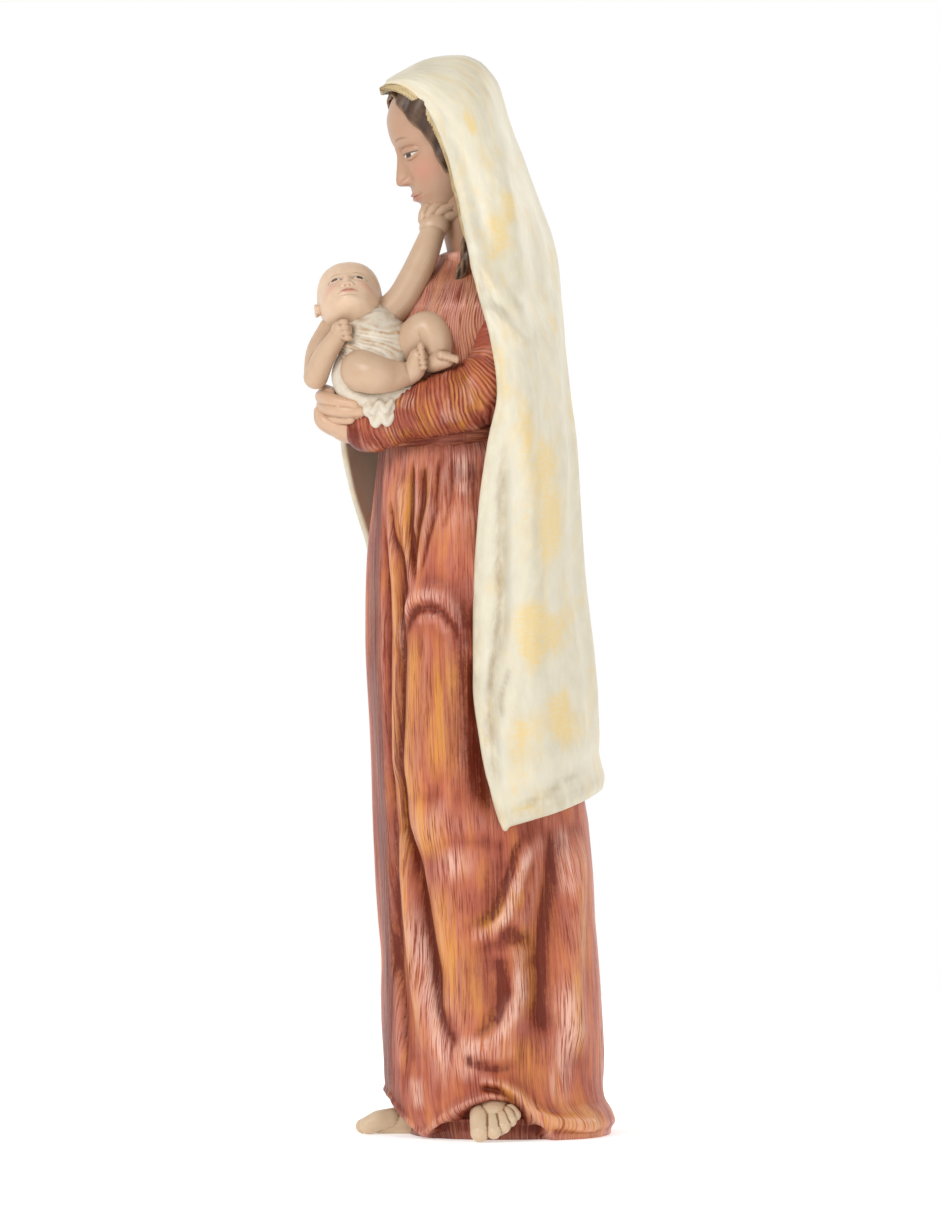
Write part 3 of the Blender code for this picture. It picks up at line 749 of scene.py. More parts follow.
# Brushed gold, painted highlights, and dark wash with painted shade on the near side: strength, width and
# path seen from +X
GOLD_STROKES = (
    (0.8, 8.0, ((-44, 372), (-43, 335), (-41, 305))),
    (1.0, 3.6, MAIN_RIDGE),
    (0.8, 3.0, ((-48, 356), (-47, 335), (-45, 318))),
    (1.0, 3.4, ((-42, 368), (-41, 345), (-40, 326))),
    (0.9, 3.4, ((-31, 374), (-33, 345), (-37, 312))),
    (1.0, 9.0, ((-36, 288), (-40, 245), (-41, 205), (-37, 180), (-30, 168))),
    (0.7, 9.0, ((-22, 270), (-24, 230), (-20, 190))),
    (1.0, 9.0, ((-38, 190), (-30, 170), (-27, 150))),
    (0.9, 10.0, ((-30, 148), (-22, 112), (-14, 80), (-9, 60))),
    (1.0, 4.5, ((-11, 118), (2, 120), (14, 131), (19, 142))),
    (0.8, 6.0, ((24, 124), (22, 100), (24, 82), (20, 62))),
    (0.9, 7.0, ((53, 172), (52, 120), (51, 82))),
    (1.0, 5.0, ((48, 100), (48, 70), (51, 40))),
    (1.0, 4.4, ((-6, 32), (6, 30), (17, 25), (26, 16), (36, 10), (52, 8), (64, 7))),
    (1.0, 9.0, ((40, 12), (56, 9), (68, 8))),
    (0.7, 8.0, ((20, 60), (24, 40), (28, 24))),
)
# Painted highlights: pale streaks along the ridges that catch the light.
HIGHLIGHT_STROKES = (
    (0.8, 2.4, ((-47, 310), (-46, 260), (-46, 220), (-45, 180))),
    (1.0, 5.5, ((-41, 134), (-35, 101), (-29, 73), (-24, 47), (-22, 24))),
    (1.0, 2.2, ((24, 162), (20, 150), (15, 137), (10, 122), (1, 113))),
    (1.0, 2.6, ((18, 98), (18, 80), (12, 65), (3, 52))),
    (0.8, 8.0, ((-20, 164), (-12, 140))),
    (0.8, 5.5, ((42, 176), (45, 130))),
    (0.9, 6.5, ((41, 92), (45, 60), (43, 40), (44, 14))),
    (0.9, 5.0, ((-39, 36), (-36, 14))),
    (0.9, 5.0, ((-14, 378), (-13, 350))),
    (0.35, 1.8, ((-46, 282), (-40, 293), (-34, 298), (-28, 299), (-19, 295))),
    (0.8, 1.2, ((-55.4, 350), (-55, 277), (-54.2, 230), (-53, 190), (-51.6, 140), (-50, 100), (-46, 50),
                (-43, 14))),
    (0.7, 6.0, ((-12, 30), (-8, 60))),
)
# Painted shade along the valleys and where the skirt lies in shadow, with the dark wash.
SHADE_STROKES = (
    (1.0, 4.6, ((-47, 344), (-46, 309), (-46, 279), (-46, 234), (-47, 193), (-46, 171), (-40, 150),
                (-36, 133), (-29, 96), (-25, 73), (-20, 60), (-13, 51), (-4, 45), (9, 42))),
    (0.8, 6.0, ((-45, 186), (-40, 150), (-36, 133), (-29, 92))),
    (0.9, 2.4, ((-40, 376), (-40, 340), (-38, 304))),
    (0.8, 2.2, ((-52, 354), (-49, 330), (-43, 304))),
    (0.8, 2.2, ((-34, 374), (-33, 350), (-37, 318))),
    (0.7, 2.0, ((-26, 376), (-25, 346), (-32, 314))),
    (0.4, 6.0, ((-22, 378), (-26, 350), (-31, 320))),
    (1.0, 7.0, ((-10, 316), (-10, 262), (-8, 215), (-2, 190), (5, 166))),
    (0.5, 12.0, ((-12, 290), (-12, 240), (-8, 205))),
    (0.6, 5.0, ((8, 160), (6, 134), (2, 122))),
    (0.8, 8.0, ((37, 186), (36, 137), (31, 96), (30, 70), (34, 40))),
    (0.4, 13.0, ((22, 178), (26, 130), (26, 80), (32, 40))),
    (0.5, 4.6, ((8, 104), (9, 76), (2, 58))),
    (0.8, 1.8, ((-5, 29), (8, 27), (16, 21), (24, 12))),
    (0.45, 2.6, ((-43, 277), (-36, 290), (-28, 292), (-19, 286))),
    (0.4, 8.0, ((-4, 110), (2, 70))),
    (0.5, 4.0, ((-10, 385), (-6, 350), (-6, 310))),
    (0.6, 7.0, ((-60, 40), (-40, 6))),
)


def brushed(a, z, strokes):
    """Strongest brush mark of a list at each unrolled place, wandering a little from its path."""
    out = np.zeros(np.shape(a))
    place = np.stack((a, z, np.zeros(np.shape(a))), axis=-1)
    aside = a + 2.4 * (grain(place, (5.0, 16.0, 9.0), 3.0) - 0.5)
    for strength, width, path in strokes:
        out = np.maximum(out, strength * carve(aside, z, width, 1.0, seen_path(path), fade=0.25))
    return out


# Folds further round: width, depth, sharpness and path by degrees round the dress
ROUND_FOLDS = (
    (8.0, 3.6, 2.0, ((-96, 375), (-100, 280), (-97, 180), (-101, 90), (-98, 26))),
    (5.0, -4.5, 1.6, ((-110, 370), (-114, 260), (-111, 160), (-115, 70), (-112, 28))),
    (10.0, 4.2, 2.0, ((-128, 370), (-131, 280), (-126, 190), (-130, 90), (-128, 24))),
    (5.0, -4.5, 1.6, ((-144, 365), (-148, 250), (-142, 150), (-147, 50), (-145, 10))),
    (9.0, 3.6, 2.0, ((-160, 240), (-157, 180), (-162, 100), (-158, 12))),
    (5.0, -3.6, 1.6, ((-175, 220), (-172, 130), (-177, 60), (-174, 10))),
    (8.0, 3.4, 2.0, ((166, 200), (169, 120), (164, 50), (167, 10))),
    (5.0, -3.6, 1.6, ((151, 200), (148, 120), (153, 50), (150, 12))),
    (8.0, 3.6, 2.0, ((135, 200), (138, 120), (133, 50), (136, 10))),
    (5.0, -3.6, 1.6, ((119, 200), (116, 120), (121, 50), (118, 12))),
    (8.0, 3.2, 2.0, ((103, 200), (106, 120), (102, 50), (104, 10))),
    (4.5, -3.0, 1.6, ((88, 200), (86, 120), (90, 50), (87, 14))),
)

# Lower edge of the dress where it lifts over each foot
HEM_NEAR = ((-36, -2), (-30, 5), (-20, 13), (-8, 20), (3, 23.5), (12, 23), (19, 18.5), (26, 12), (33, 5),
            (40, -2))
HEM_FRONT = ((-142, -2), (-128, 6), (-114, 15), (-100, 21), (-86, 23), (-72, 20), (-60, 12), (-48, 4),
             (-40, -2))


def hem_recess(a, z):
    """How far the dress is cut back under its lifted hem, over the near foot and over the front one."""
    near = seen_path(HEM_NEAR)
    front = round_path(HEM_FRONT)
    edge_near = np.interp(a, [p[0] for p in near], [p[1] for p in near], left=-9, right=-9)
    edge_front = np.interp(a, [p[0] for p in front], [p[1] for p in front], left=-9, right=-9)
    edge = np.maximum(edge_near, edge_front)
    under = ease(0.0, 2.2, edge - z)
    lip = bell(z, edge + 1.6, 2.0) * (edge > -4.0)
    return -9.0 * under + 1.5 * lip


def dress_folds(theta, z):
    """Height of the carving over the plain dress at angle theta and height z."""
    a = unrolled(theta)
    out = np.zeros(np.shape(a))
    for width, depth, sharp, path, *lean in NEAR_FOLDS:
        out += carve(a, z, width, depth, seen_path(path), sharp, *lean)
    for width, depth, sharp, path in ROUND_FOLDS:
        out += carve(a, z, width, depth, round_path(path), sharp)
    return out


def bent(wave, power):
    """A cosine or sine raised to a power with its sign kept."""
    return np.sign(wave) * np.abs(wave) ** power


def dress_section(z, t, spare=0.0):
    """Points of the plain dress: x = hx |cos|^(2/n), y = hy |sin|^(2/n) round each section's centre."""
    cx, cy, hx, hy = dress_axes(z)
    power = 2.0 / ROUNDNESS
    return np.stack((cx + (hx + spare) * bent(np.cos(t), power), cy + (hy + spare) * bent(np.sin(t), power),
                     z), axis=-1)


def unrolled(angle):
    """Distance round the unrolled dress, 0 on the near side."""
    return ((angle + np.pi) % (2.0 * np.pi) - np.pi) * UNROLL


def build_skirt():
    """The skirt: the dress loft below the belt with folds, gathers and lifted hems."""
    z = spread((50, 116, 14), (-0.5, 40.0, 345.0, 396.0))
    t = np.radians(spread((224, 50), (-128.0, 95.0, 232.0)))[:-1]
    zz, tt = lattice(z, t)
    grid = dress_section(zz, tt)
    a = unrolled(tt)
    wander = (grain(grid, (16.0, 16.0, 40.0), 3.0) - 0.5) * 3.0
    lift = dress_folds(tt, zz) * bpy.context.scene.statue_sizes.fold_depth
    gather = ease(316.0, 384.0, zz) * ease(400.0, 386.0, zz)
    patchy = 0.3 + grain(grid, (9.0, 9.0, 40.0), 5.0)
    lift += gather * 0.7 * (np.abs(np.sin(a * 0.42 + wander)) - 0.5) * patchy
    lift += (grain(grid, (2.4, 2.4, 60.0), 8.0) - 0.5) * 0.7
    lift += (grain(grid, (22.0, 22.0, 60.0), 1.0) - 0.5) * 1.8
    lift += hem_recess(a, zz)
    lift *= ease(396.0, 388.0, zz)
    grid = grid + outward(grid, wrapped_normals(grid, True)) * lift[..., None]
    grid[..., 2] = np.where(zz < 0.0, 0.0, np.maximum(grid[..., 2], 0.0))
    mesh = raw_mesh("skirt", [closed_tube(grid)])
    # Painted shade under the lifted hems, on the front strip that turns away into shadow, and in a band just
    # below the belt.
    under = ease(0.5, 5.0, -hem_recess(a, zz))
    degrees = np.degrees(a / UNROLL)
    front = ease(-61.0, -69.0, degrees) * ease(-96.0, -82.0, degrees) * ease(2.0, 20.0, zz)
    gold = capped(brushed(a, zz, GOLD_STROKES))
    pale_and_highlight = capped(brushed(a, zz, HIGHLIGHT_STROKES))
    waist = 0.5 * bell(zz, 382.0, 8.0)
    # hidden gathers the painted shade of the hems, the front strip and the band below the belt.
    hidden = np.maximum(0.7 * under, np.maximum(front, waist))
    shade = capped(np.maximum(brushed(a, zz, SHADE_STROKES), hidden))
    painted_cloth(mesh, gold, pale_and_highlight, shade, 13, 0.8, 80, 1.1)
    flow(mesh, capped(a + wander * 0.8), capped(zz), 1.0)
    finish_piece("skirt", mesh, "dress")


# Each sleeve from shoulder to wrist, its radii, and the spacing of its rings
SLEEVE = ((34, 15, 458), (42, 11, 440), (46.5, 5, 420), (48, -5, 410), (46, -22, 404.5), (42, -40, 399.5),
          (36.5, -58, 392.5), (34, -65, 390.5))
SLEEVE_RADII = (13, 15.5, 17.2, 18.6, 17.6, 15.6, 13.2, 12.6)
FAR_SLEEVE = ((-28, 4, 456), (-36, -8, 440), (-40, -20, 422), (-40.5, -30, 410), (-36, -44, 402),
              (-28, -54, 400), (-19, -63, 399.5), (-9, -72, 400))
FAR_RADII = (12, 14, 15, 15.2, 14.0, 12.2, 11.2, 10.4)
SLEEVE_RINGS = 2.25


def sleeve_piece(name, path, radii, seed, count, sides):
    """A sleeve: a limb whose surface is thrown into fine broken rings, fanning out round the elbow."""
    rings, t, a = limb_rings(path, radii, 1.02, (1.0, 0.0, 0.0), count, sides, 8)
    tt, aa = lattice(t, a)
    length = length_of(path)
    run = tt * length
    gap = bpy.context.scene.statue_sizes.ring_gap / SHARE
    wander = (grain(rings, (12.0, 12.0, 12.0), seed) - 0.5) * 4.0 + 1.5 * np.cos(aa)
    wander += (grain(rings, (4.0, 4.0, 4.0), seed + 1.0) - 0.5) * 0.8
    broken = 0.25 + 0.75 * grain(rings, (5.0, 5.0, 5.0), seed + 2.0)
    height = 0.60 * np.sin((run + wander) * 2.0 * np.pi / gap) * broken
    height += 0.45 * np.sin((run + wander * 1.7) * 2.0 * np.pi / (4.2 * gap))
    height *= ease(0.20, 0.36, tt) * ease(1.03, 0.99, tt)
    height += 0.6 * bell(tt, 0.992, 0.010)
    rings = rings + outward(rings, wrapped_normals(rings, True)) * height[..., None]
    mesh = raw_mesh(name, [closed_tube(rings)])
    gold = capped(0.7 * ease(0.42, 0.72, grain(rings, (16.0, 10.0, 10.0), seed + 9.0)) * ease(0.26, 0.4, tt))
    pale_and_highlight = capped(0.4 * ease(0.52, 0.75, grain(rings, (7.0, 7.0, 7.0), seed + 5.0)))
    painted_cloth(mesh, gold, pale_and_highlight, 0.12, 4, 0.40, 0, 1.3)
    flow(mesh, capped(run + wander), capped(aa * 15.0), seed)
    finish_piece(name, mesh, "dress")


def build_sleeves():
    """Both sleeves of the dress."""
    sleeve_piece("near_sleeve", SLEEVE, SLEEVE_RADII, 2.0, 300, 112)
    sleeve_piece("far_sleeve", FAR_SLEEVE, FAR_RADII, 15.0, 160, 70)


def build_bodice():
    """The bodice above the belt: the dress loft with fine pleats that run down from the collar."""
    z = spread((70,), (384.0, 497.0))
    t = np.radians(spread((320, 44), (-125.0, 60.0, 235.0)))[:-1]
    zz, tt = lattice(z, t)
    grid = dress_section(zz, tt)
    a = unrolled(tt)
    bust = 14.0 * bell(zz, 452.0, 26.0)
    wave = (grain(grid, (14.0, 14.0, 22.0), 4.0) - 0.5) * 5.0
    wave += (grain(grid, (5.0, 5.0, 9.0), 5.0) - 0.5) * 1.6
    across = a + bust * np.tanh((a + 46.0) / 16.0) * 0.5
    pleat = np.sin(across * 3.4 + wave)
    lift = 0.45 * pleat * (0.45 + 0.55 * grain(grid, (8.0, 8.0, 16.0), 6.0))
    lift *= ease(384.0, 398.0, zz) * ease(494.0, 476.0, zz)
    lift += carve(a, zz, 2.6, -2.6, round_path(((-44, 486), (-46, 470), (-48, 446), (-50, 420))), 1.6)
    lift += carve(a, zz, 11.0, 4.0, round_path(((-28, 470), (-30, 452), (-34, 436))))
    lift += carve(a, zz, 11.0, 4.0, round_path(((-64, 470), (-64, 452), (-62, 436))))
    grid = grid + outward(grid, wrapped_normals(grid, True)) * lift[..., None]
    grid[..., 2] -= 9.0 * ease(430.0, 497.0, zz)
    mesh = raw_mesh("bodice", [closed_tube(grid)])
    gold = capped(0.35 * ease(0.45, 0.75, grain(grid, (9.0, 9.0, 26.0), 3.0)))
    # Painted shade in a band just above the belt, and darker towards the back.
    shade = capped(0.9 * bell(zz, 396.0, 9.0) + 0.5 * ease(-4.0, 8.0, grid[..., 1]))
    painted_cloth(mesh, gold, 0.35, shade, 6, 0.40, 40)
    flow(mesh, capped(across + wave * 0.2), capped(zz), 5.0)
    finish_piece("bodice", mesh, "dress")


def build_collar():
    """The collar: a smooth upright band round the neck with a rolled top edge."""
    z = spread((30,), (462.0, 491.5))
    t = full_turn(140)
    zz, tt = lattice(z, t)
    half = track(zz, ((462, 30), (468, 25), (474, 21), (482, 18), (491.5, 17)))
    half = half * np.clip((492.1 - zz) / 2.4, 0.0, 1.0) ** 0.2
    x = half * np.cos(tt)
    y = -8.5 + half * 1.04 * np.sin(tt)
    zz = zz + 0.06 * y
    mesh = raw_mesh("collar", [closed_tube(np.stack((x, y, zz), axis=-1))])
    painted_cloth(mesh, 0.1, 0.4, 0.0, 10, 0.5)
    flow(mesh, capped(tt * 17.0), capped(zz), 8.0)
    finish_piece("collar", mesh, "dress")


def build_belt():
    """The belt: a rolled band carried round the waist, creased along its length."""
    t = full_turn(240)
    z = 387.5 + 3.0 * np.sin(t + 0.4)
    mid = dress_section(z, t, 1.0)
    out = np.stack((np.cos(t), np.sin(t), np.zeros_like(t)), axis=-1)
    a = full_turn(32)
    tt, aa = lattice(t, a)
    fold = 1.0 + 0.12 * np.sin(aa * 3.0 + tt * 5.0) + 0.07 * np.sin(aa * 5.0 - tt * 9.0)
    rings = mid[:, None, :] + 4.4 * (fold * np.cos(aa))[..., None] * out[:, None, :]
    rings = rings + 6.4 * (fold * np.sin(aa))[..., None] * np.array((0.0, 0.0, 1.0))
    n, m, _ = rings.shape
    quads = grid_quads(n + 1, m, True) % (n * m)
    mesh = raw_mesh("belt", [(rings.reshape(-1, 3), [quads])])
    # Shade layer over the whole belt: its deeper red, with painted shade under the sleeves.
    painted_cloth(mesh, 0.0, 0.15, 0.45, 6, 0.5)
    flow(mesh, (aa * 6.0).ravel(), (tt * 50.0).ravel(), 17.0)
    finish_piece("belt", mesh, "dress")


# The veil and mantle. Above the neck its rows fan out about a pivot behind the chin
NECK = 500.0
PIVOT = (-40.0, NECK)
HOOD_TURN = 103.0
HOOD_TUCK = 19.5
HOOD_SHARE = 0.30
HOOD_TOP = ((0, 77.6), (6, 75.1), (15, 72.4), (25, 72.8), (34, 75.0), (42, 78.2), (50, 83.6), (56, 90.4),
            (61, 97.2), (65, 100.8), (69, 103.4), (73, 104.0), (76.5, 102.8), (83, 99.4), (88, 96.0),
            (92, 92.6), (98, 88.3), (103, 84.6))
HOOD_RIM = ((0, 27.5), (13, 26.7), (46, 31.8), (65, 43), (79, 57), (89, 70), (97, 78), (103, 81))
HOOD_WIDE = ((0, 46), (20, 41), (46, 36), (65, 34), (79, 31.5), (89, 28), (97, 22), (103, 15))
HOOD_PULL = ((0, 1.4), (13, 1.8), (30, 2.2), (46, 2.8), (65, 4.0), (80, 6.0), (90, 6.4), (103, 3.4))
RIM_NEAR = ((165, 11), (172, 10), (189, 4), (217, -2), (250, -6), (288, -6), (344, -3), (382, 2), (410, 7),
            (440, 3), (465, -4), (476, -7), (490, -10), (500, -12.5))
RIM_FAR = ((165, -52), (189, -55), (244, -60), (290, -60), (324, -64.5), (360, -75.5), (388, -80),
           (402, -80), (420, -68), (440, -47), (460, -28), (475, -18), (490, -14), (500, -12.5))
MANTLE_BACK = ((165, 66), (195, 64.5), (217, 63.8), (266, 59.4), (321, 53.4), (377, 50.2), (426, 44.2),
               (452, 43.2), (464, 42.8), (475, 42.2), (486, 40.9), (493, 39.4), (500, 37.6))
MANTLE_MID = ((165, 14), (200, 12), (290, 8), (340, 10), (400, 14), (440, 12), (470, 5), (500, -0.6))
WIDE_NEAR = ((165, 72), (200, 70), (250, 67), (290, 65), (340, 65), (380, 69), (410, 72), (440, 70),
             (460, 64), (475, 57), (490, 50), (500, 46))
WIDE_FAR = ((165, 72), (200, 70), (290, 67), (340, 67), (380, 70), (400, 71), (420, 69), (440, 66),
            (460, 62), (475, 57), (490, 50), (500, 46))
TUCK_NEAR = ((165, 10), (200, 12), (290, 17), (340, 15), (400, 10), (440, 15), (470, 21), (500, 19.5))
TUCK_FAR = ((165, 50), (290, 56), (330, 62), (388, 74), (402, 73), (420, 66), (440, 50), (460, 34),
            (475, 25), (500, 19.5))
HEM = ((0.0, 172), (0.2, 183.5), (0.3, 189), (0.4, 193), (0.5, 196), (0.8, 186), (1.0, 178))


def mantle_outer(u, v, edge=0.0):
    """Outer face of the mantle, u across from near rim to far rim, v from the brow to the hem.

    Above the neck a row lies in a plane through the pivot, turned from upright at the brow to
    level at the neck; below, rows are level. In its plane a row is an arc of two half ellipses.
    With edge at 1 the hood stops short of the lining band that shows inside its rim.
    """
    hood = v < HOOD_SHARE
    phi = (HOOD_TURN - 3.0 * edge) * (1.0 - np.clip(v / HOOD_SHARE, 0.0, 1.0))
    drop = np.clip((v - HOOD_SHARE) / (1.0 - HOOD_SHARE), 0.0, 1.0)
    z = NECK - drop * (NECK - track(u, HEM))
    top = np.where(hood, track(phi, HOOD_TOP), track(z, MANTLE_BACK) - PIVOT[0])
    rim = track(phi, HOOD_RIM)
    rim = np.minimum(rim + edge * track(phi, HOOD_PULL), top - 1.5)
    mid = np.where(hood, rim + 0.25 * (top - rim), track(z, MANTLE_MID) - PIVOT[0])
    tuck_near = np.where(hood, HOOD_TUCK, track(z, TUCK_NEAR))
    tuck_far = np.where(hood, HOOD_TUCK, track(z, TUCK_FAR))
    wide_near = np.where(hood, track(phi, HOOD_WIDE), track(z, WIDE_NEAR))
    wide_far = np.where(hood, track(phi, HOOD_WIDE), track(z, WIDE_FAR))
    below = 1.4 * edge * ease(470.0, NECK, z)
    rim_near = np.where(hood, rim, track(z, RIM_NEAR) - PIVOT[0] + below)
    rim_far = np.where(hood, rim, track(z, RIM_FAR) - PIVOT[0] + below)
    angle = np.radians(-tuck_near + (180.0 + tuck_far + tuck_near) * u)
    c = np.cos(angle)
    s = np.sin(angle)
    wide = np.where(c > 0.0, wide_near, wide_far)
    front_near = (mid - rim_near) / np.sin(np.radians(tuck_near))
    front_far = (mid - rim_far) / np.sin(np.radians(tuck_far))
    reach = np.where(s > 0.0, top - mid, np.where(c > 0.0, front_near, front_far))
    x = wide * c
    r = mid + reach * s
    turn = np.radians(phi)
    y = PIVOT[0] + r * np.cos(turn)
    z_out = np.where(hood, PIVOT[1] + r * np.sin(turn), z)
    out = np.stack((x, y, z_out), axis=-1)
    near_turn = bell(v, HOOD_SHARE, 0.05)[1:-1, :, None]
    for _ in range(40):
        out[1:-1] += near_turn * 0.25 * (out[:-2] - 2.0 * out[1:-1] + out[2:])
    return out


# Folds of the mantle, seen from +X, from -X and from behind: width, depth, sharpness and path
MANTLE_NEAR = (
    (2.8, 2.8, 1.9, ((10.5, 398), (9.5, 354), (9.5, 310), (9.5, 282), (5, 260), (3.5, 240), (4.5, 222),
                     (6, 205), (11, 172))),
    (1.3, -1.6, 1.6, ((8, 398), (7, 354), (6.6, 320), (7.4, 296), (3.6, 265), (1.2, 240), (1.6, 222),
                      (3.5, 202), (9, 174))),
    (5.0, -0.8, 2.0, ((5, 398), (4, 354), (2, 310), (0, 275), (-2, 245), (0, 215))),
    (5.0, -1.4, 2.0, ((17, 396), (17, 350), (17, 300), (15, 262), (11, 240), (11, 210))),
    (4.0, 2.0, 1.9, ((-34, 572), (-26, 560), (-18, 542), (-12, 524), (-8, 506), (-5, 490), (-2, 478))),
    (5.0, -1.8, 2.0, ((-26, 568), (-14, 545), (-7, 522), (-3, 504), (3, 486))),
    (5.0, 2.0, 1.9, ((-8, 488), (0, 476), (9, 466), (24, 452))),
    (2.6, -1.0, 1.7, ((-8, 478), (-1, 467), (9, 456), (24, 442))),
    (4.0, 1.6, 1.9, ((-2, 461), (10, 450), (26, 434))),
    (9.0, 2.6, 2.0, ((20, 426), (22, 400), (25, 360), (28, 300), (27, 240))),
    (8.0, -1.8, 2.0, ((33, 430), (36, 370), (39, 310), (41, 250), (42, 205))),
    (5.0, 2.0, 1.9, ((31, 520), (36, 470), (41, 420), (46, 366), (51, 299), (55, 244), (57, 202))),
    (7.0, 2.2, 2.0, ((4, 550), (12, 520), (18, 490), (21, 460))),
    (6.0, -1.8, 2.0, ((16, 545), (23, 510), (28, 470), (31, 440))),
)
MANTLE_FAR = (
    (6.0, 2.4, 1.8, ((-20, 478), (-30, 450), (-45, 425), (-62, 412))),
    (5.0, -2.4, 1.6, ((-8, 470), (-16, 440), (-32, 415), (-56, 398))),
    (6.0, 2.4, 1.8, ((4, 470), (-2, 430), (-14, 400), (-34, 384), (-58, 378))),
    (5.0, -2.4, 1.6, ((14, 460), (10, 420), (0, 385), (-16, 360), (-38, 348))),
    (7.0, 2.6, 2.0, ((-66, 380), (-62, 340), (-50, 290), (-44, 240), (-42, 190))),
    (5.0, -2.6, 1.6, ((-52, 376), (-46, 330), (-36, 280), (-32, 230), (-30, 190))),
    (7.0, 2.6, 2.0, ((-36, 372), (-26, 320), (-18, 260), (-16, 190))),
    (5.0, -2.4, 1.6, ((-18, 360), (-8, 310), (-3, 250), (-2, 190))),
    (7.0, 2.4, 2.0, ((2, 370), (12, 310), (14, 250), (14, 195))),
    (5.0, -2.0, 1.6, ((24, 420), (28, 340), (30, 260), (30, 198))),
)
MANTLE_REAR = (
    (9.0, 2.4, 2.0, ((-26, 470), (-34, 400), (-38, 320), (-42, 200))),
    (6.0, -2.4, 1.7, ((-14, 460), (-22, 390), (-26, 300), (-28, 200))),
    (9.0, 2.4, 2.0, ((-4, 480), (-10, 400), (-12, 300), (-14, 200))),
    (6.0, -2.2, 1.7, ((6, 460), (4, 380), (2, 290), (0, 200))),
    (9.0, 2.2, 2.0, ((14, 470), (18, 390), (18, 300), (16, 200))),
    (6.0, -2.0, 1.7, ((24, 450), (30, 380), (32, 290), (30, 200))),
)

# Golden patches, and olive wash with painted shade in the creases, of the mantle seen from +X: strength,
# width and path
MANTLE_GOLD = (
    (1.0, 8.0, ((20, 300), (28, 284), (27, 262), (22, 256))),
    (0.9, 9.0, ((34, 296), (34, 262))),
    (0.9, 6.0, ((29, 400), (34, 360), (36, 326), (33, 300))),
    (0.7, 4.0, ((22, 400), (25, 352))),
    (1.0, 2.6, ((-14, 568), (-4, 552))),
    (1.0, 4.0, ((3, 512), (8, 492), (3, 480))),
    (0.9, 3.4, ((12, 524), (14, 500))),
    (0.7, 6.0, ((18, 236), (24, 204))),
    (0.8, 7.0, ((38, 250), (44, 214))),
    (0.8, 3.0, ((14, 178), (28, 186))),
    (0.7, 4.0, ((6, 440), (12, 400))),
)
MANTLE_SHADE = (
    (0.6, 1.8, ((8, 398), (7, 354), (6.6, 320), (7.4, 296), (3.6, 265), (1.2, 240), (1.6, 222), (3.5, 202),
                (9, 174))),
    (0.25, 3.0, ((-6, 330), (-7, 280), (-6, 240), (-2, 215))),
    (0.5, 2.2, ((14, 182), (28, 187), (42, 196), (56, 204))),
    (0.35, 1.6, ((-8, 478), (-2, 468), (8, 457), (18, 448))),
    (0.6, 1.4, ((14, 262), (9, 244), (9, 226))),
)
ROLL_STEPS = 5
ROLL_BULGE = 0.8


def curled(one, two, out, turns):
    """Points on the way round from one edge to another, bulging out along a direction."""
    middle = (one + two) / 2.0
    half = (one - two) / 2.0
    size = np.linalg.norm(half, axis=-1, keepdims=True)
    return [middle + half * np.cos(w) + out * size * ROLL_BULGE * np.sin(w) for w in turns]


def rolled(one, two, out):
    """Columns of a half-round roll from one edge to another."""
    return np.stack(curled(one, two, out, np.linspace(0.0, np.pi, ROLL_STEPS + 2)[1:-1]), axis=1)


def folded_shell(outer, inner):
    """A closed shell of two grids of one shape, with rolled rims at the sides and at both row ends.

    Every row is a loop: outer left to right, a roll, inner right to left, a roll. The first and
    last rows shrink onto their middle line in rolled steps and are zipped shut along it.
    """
    k = ROLL_STEPS
    right = rolled(outer[:, -1], inner[:, -1], unit(outer[:, -1] - outer[:, -2]))
    left = rolled(inner[:, 0], outer[:, 0], unit(outer[:, 0] - outer[:, 1]))
    loops = np.concatenate((outer, right, inner[:, ::-1], left), axis=1)
    n, m, _ = loops.shape
    w = outer.shape[1]
    partner = 2 * w + k - 1 - np.arange(m)
    partner[w:w + k] = w + k - 1 - np.arange(k)
    partner[2 * w + k:] = 2 * w + 2 * k - 1 - np.arange(k)

    def close(row, before):
        ahead = (row + row[partner]) / 2.0 - (before + before[partner]) / 2.0
        return curled(row, row[partner], unit(ahead), np.radians((22.0, 44.0, 64.0, 80.0)))

    top = close(loops[0], loops[1])[::-1]
    low = close(loops[-1], loops[-2])
    loops = np.concatenate((np.stack(top), loops, np.stack(low)))
    n = len(loops)
    j = np.arange(w - 1)
    zip_quads = [(np.stack((j, j + 1, partner[j + 1], partner[j]), axis=-1))]
    zip_tris = []
    for start, before, after in ((w, w - 1, w + k), (2 * w + k, 2 * w + k - 1, 0)):
        chain = [before] + [start + i for i in range(k)] + [after]
        lo, hi = 0, len(chain) - 1
        while hi - lo > 2:
            zip_quads.append(np.array([(chain[lo], chain[lo + 1], chain[hi - 1], chain[hi])]))
            lo += 1
            hi -= 1
        if hi - lo == 2:
            zip_tris.append((chain[lo], chain[lo + 1], chain[hi]))
    quads = np.concatenate(zip_quads)
    tris = np.array(zip_tris)
    last = (n - 1) * m
    faces = [grid_quads(n, m, True), quads, quads[:, ::-1] + last, tris, tris[:, ::-1] + last]
    return loops.reshape(-1, 3), faces, (len(top), w, k)


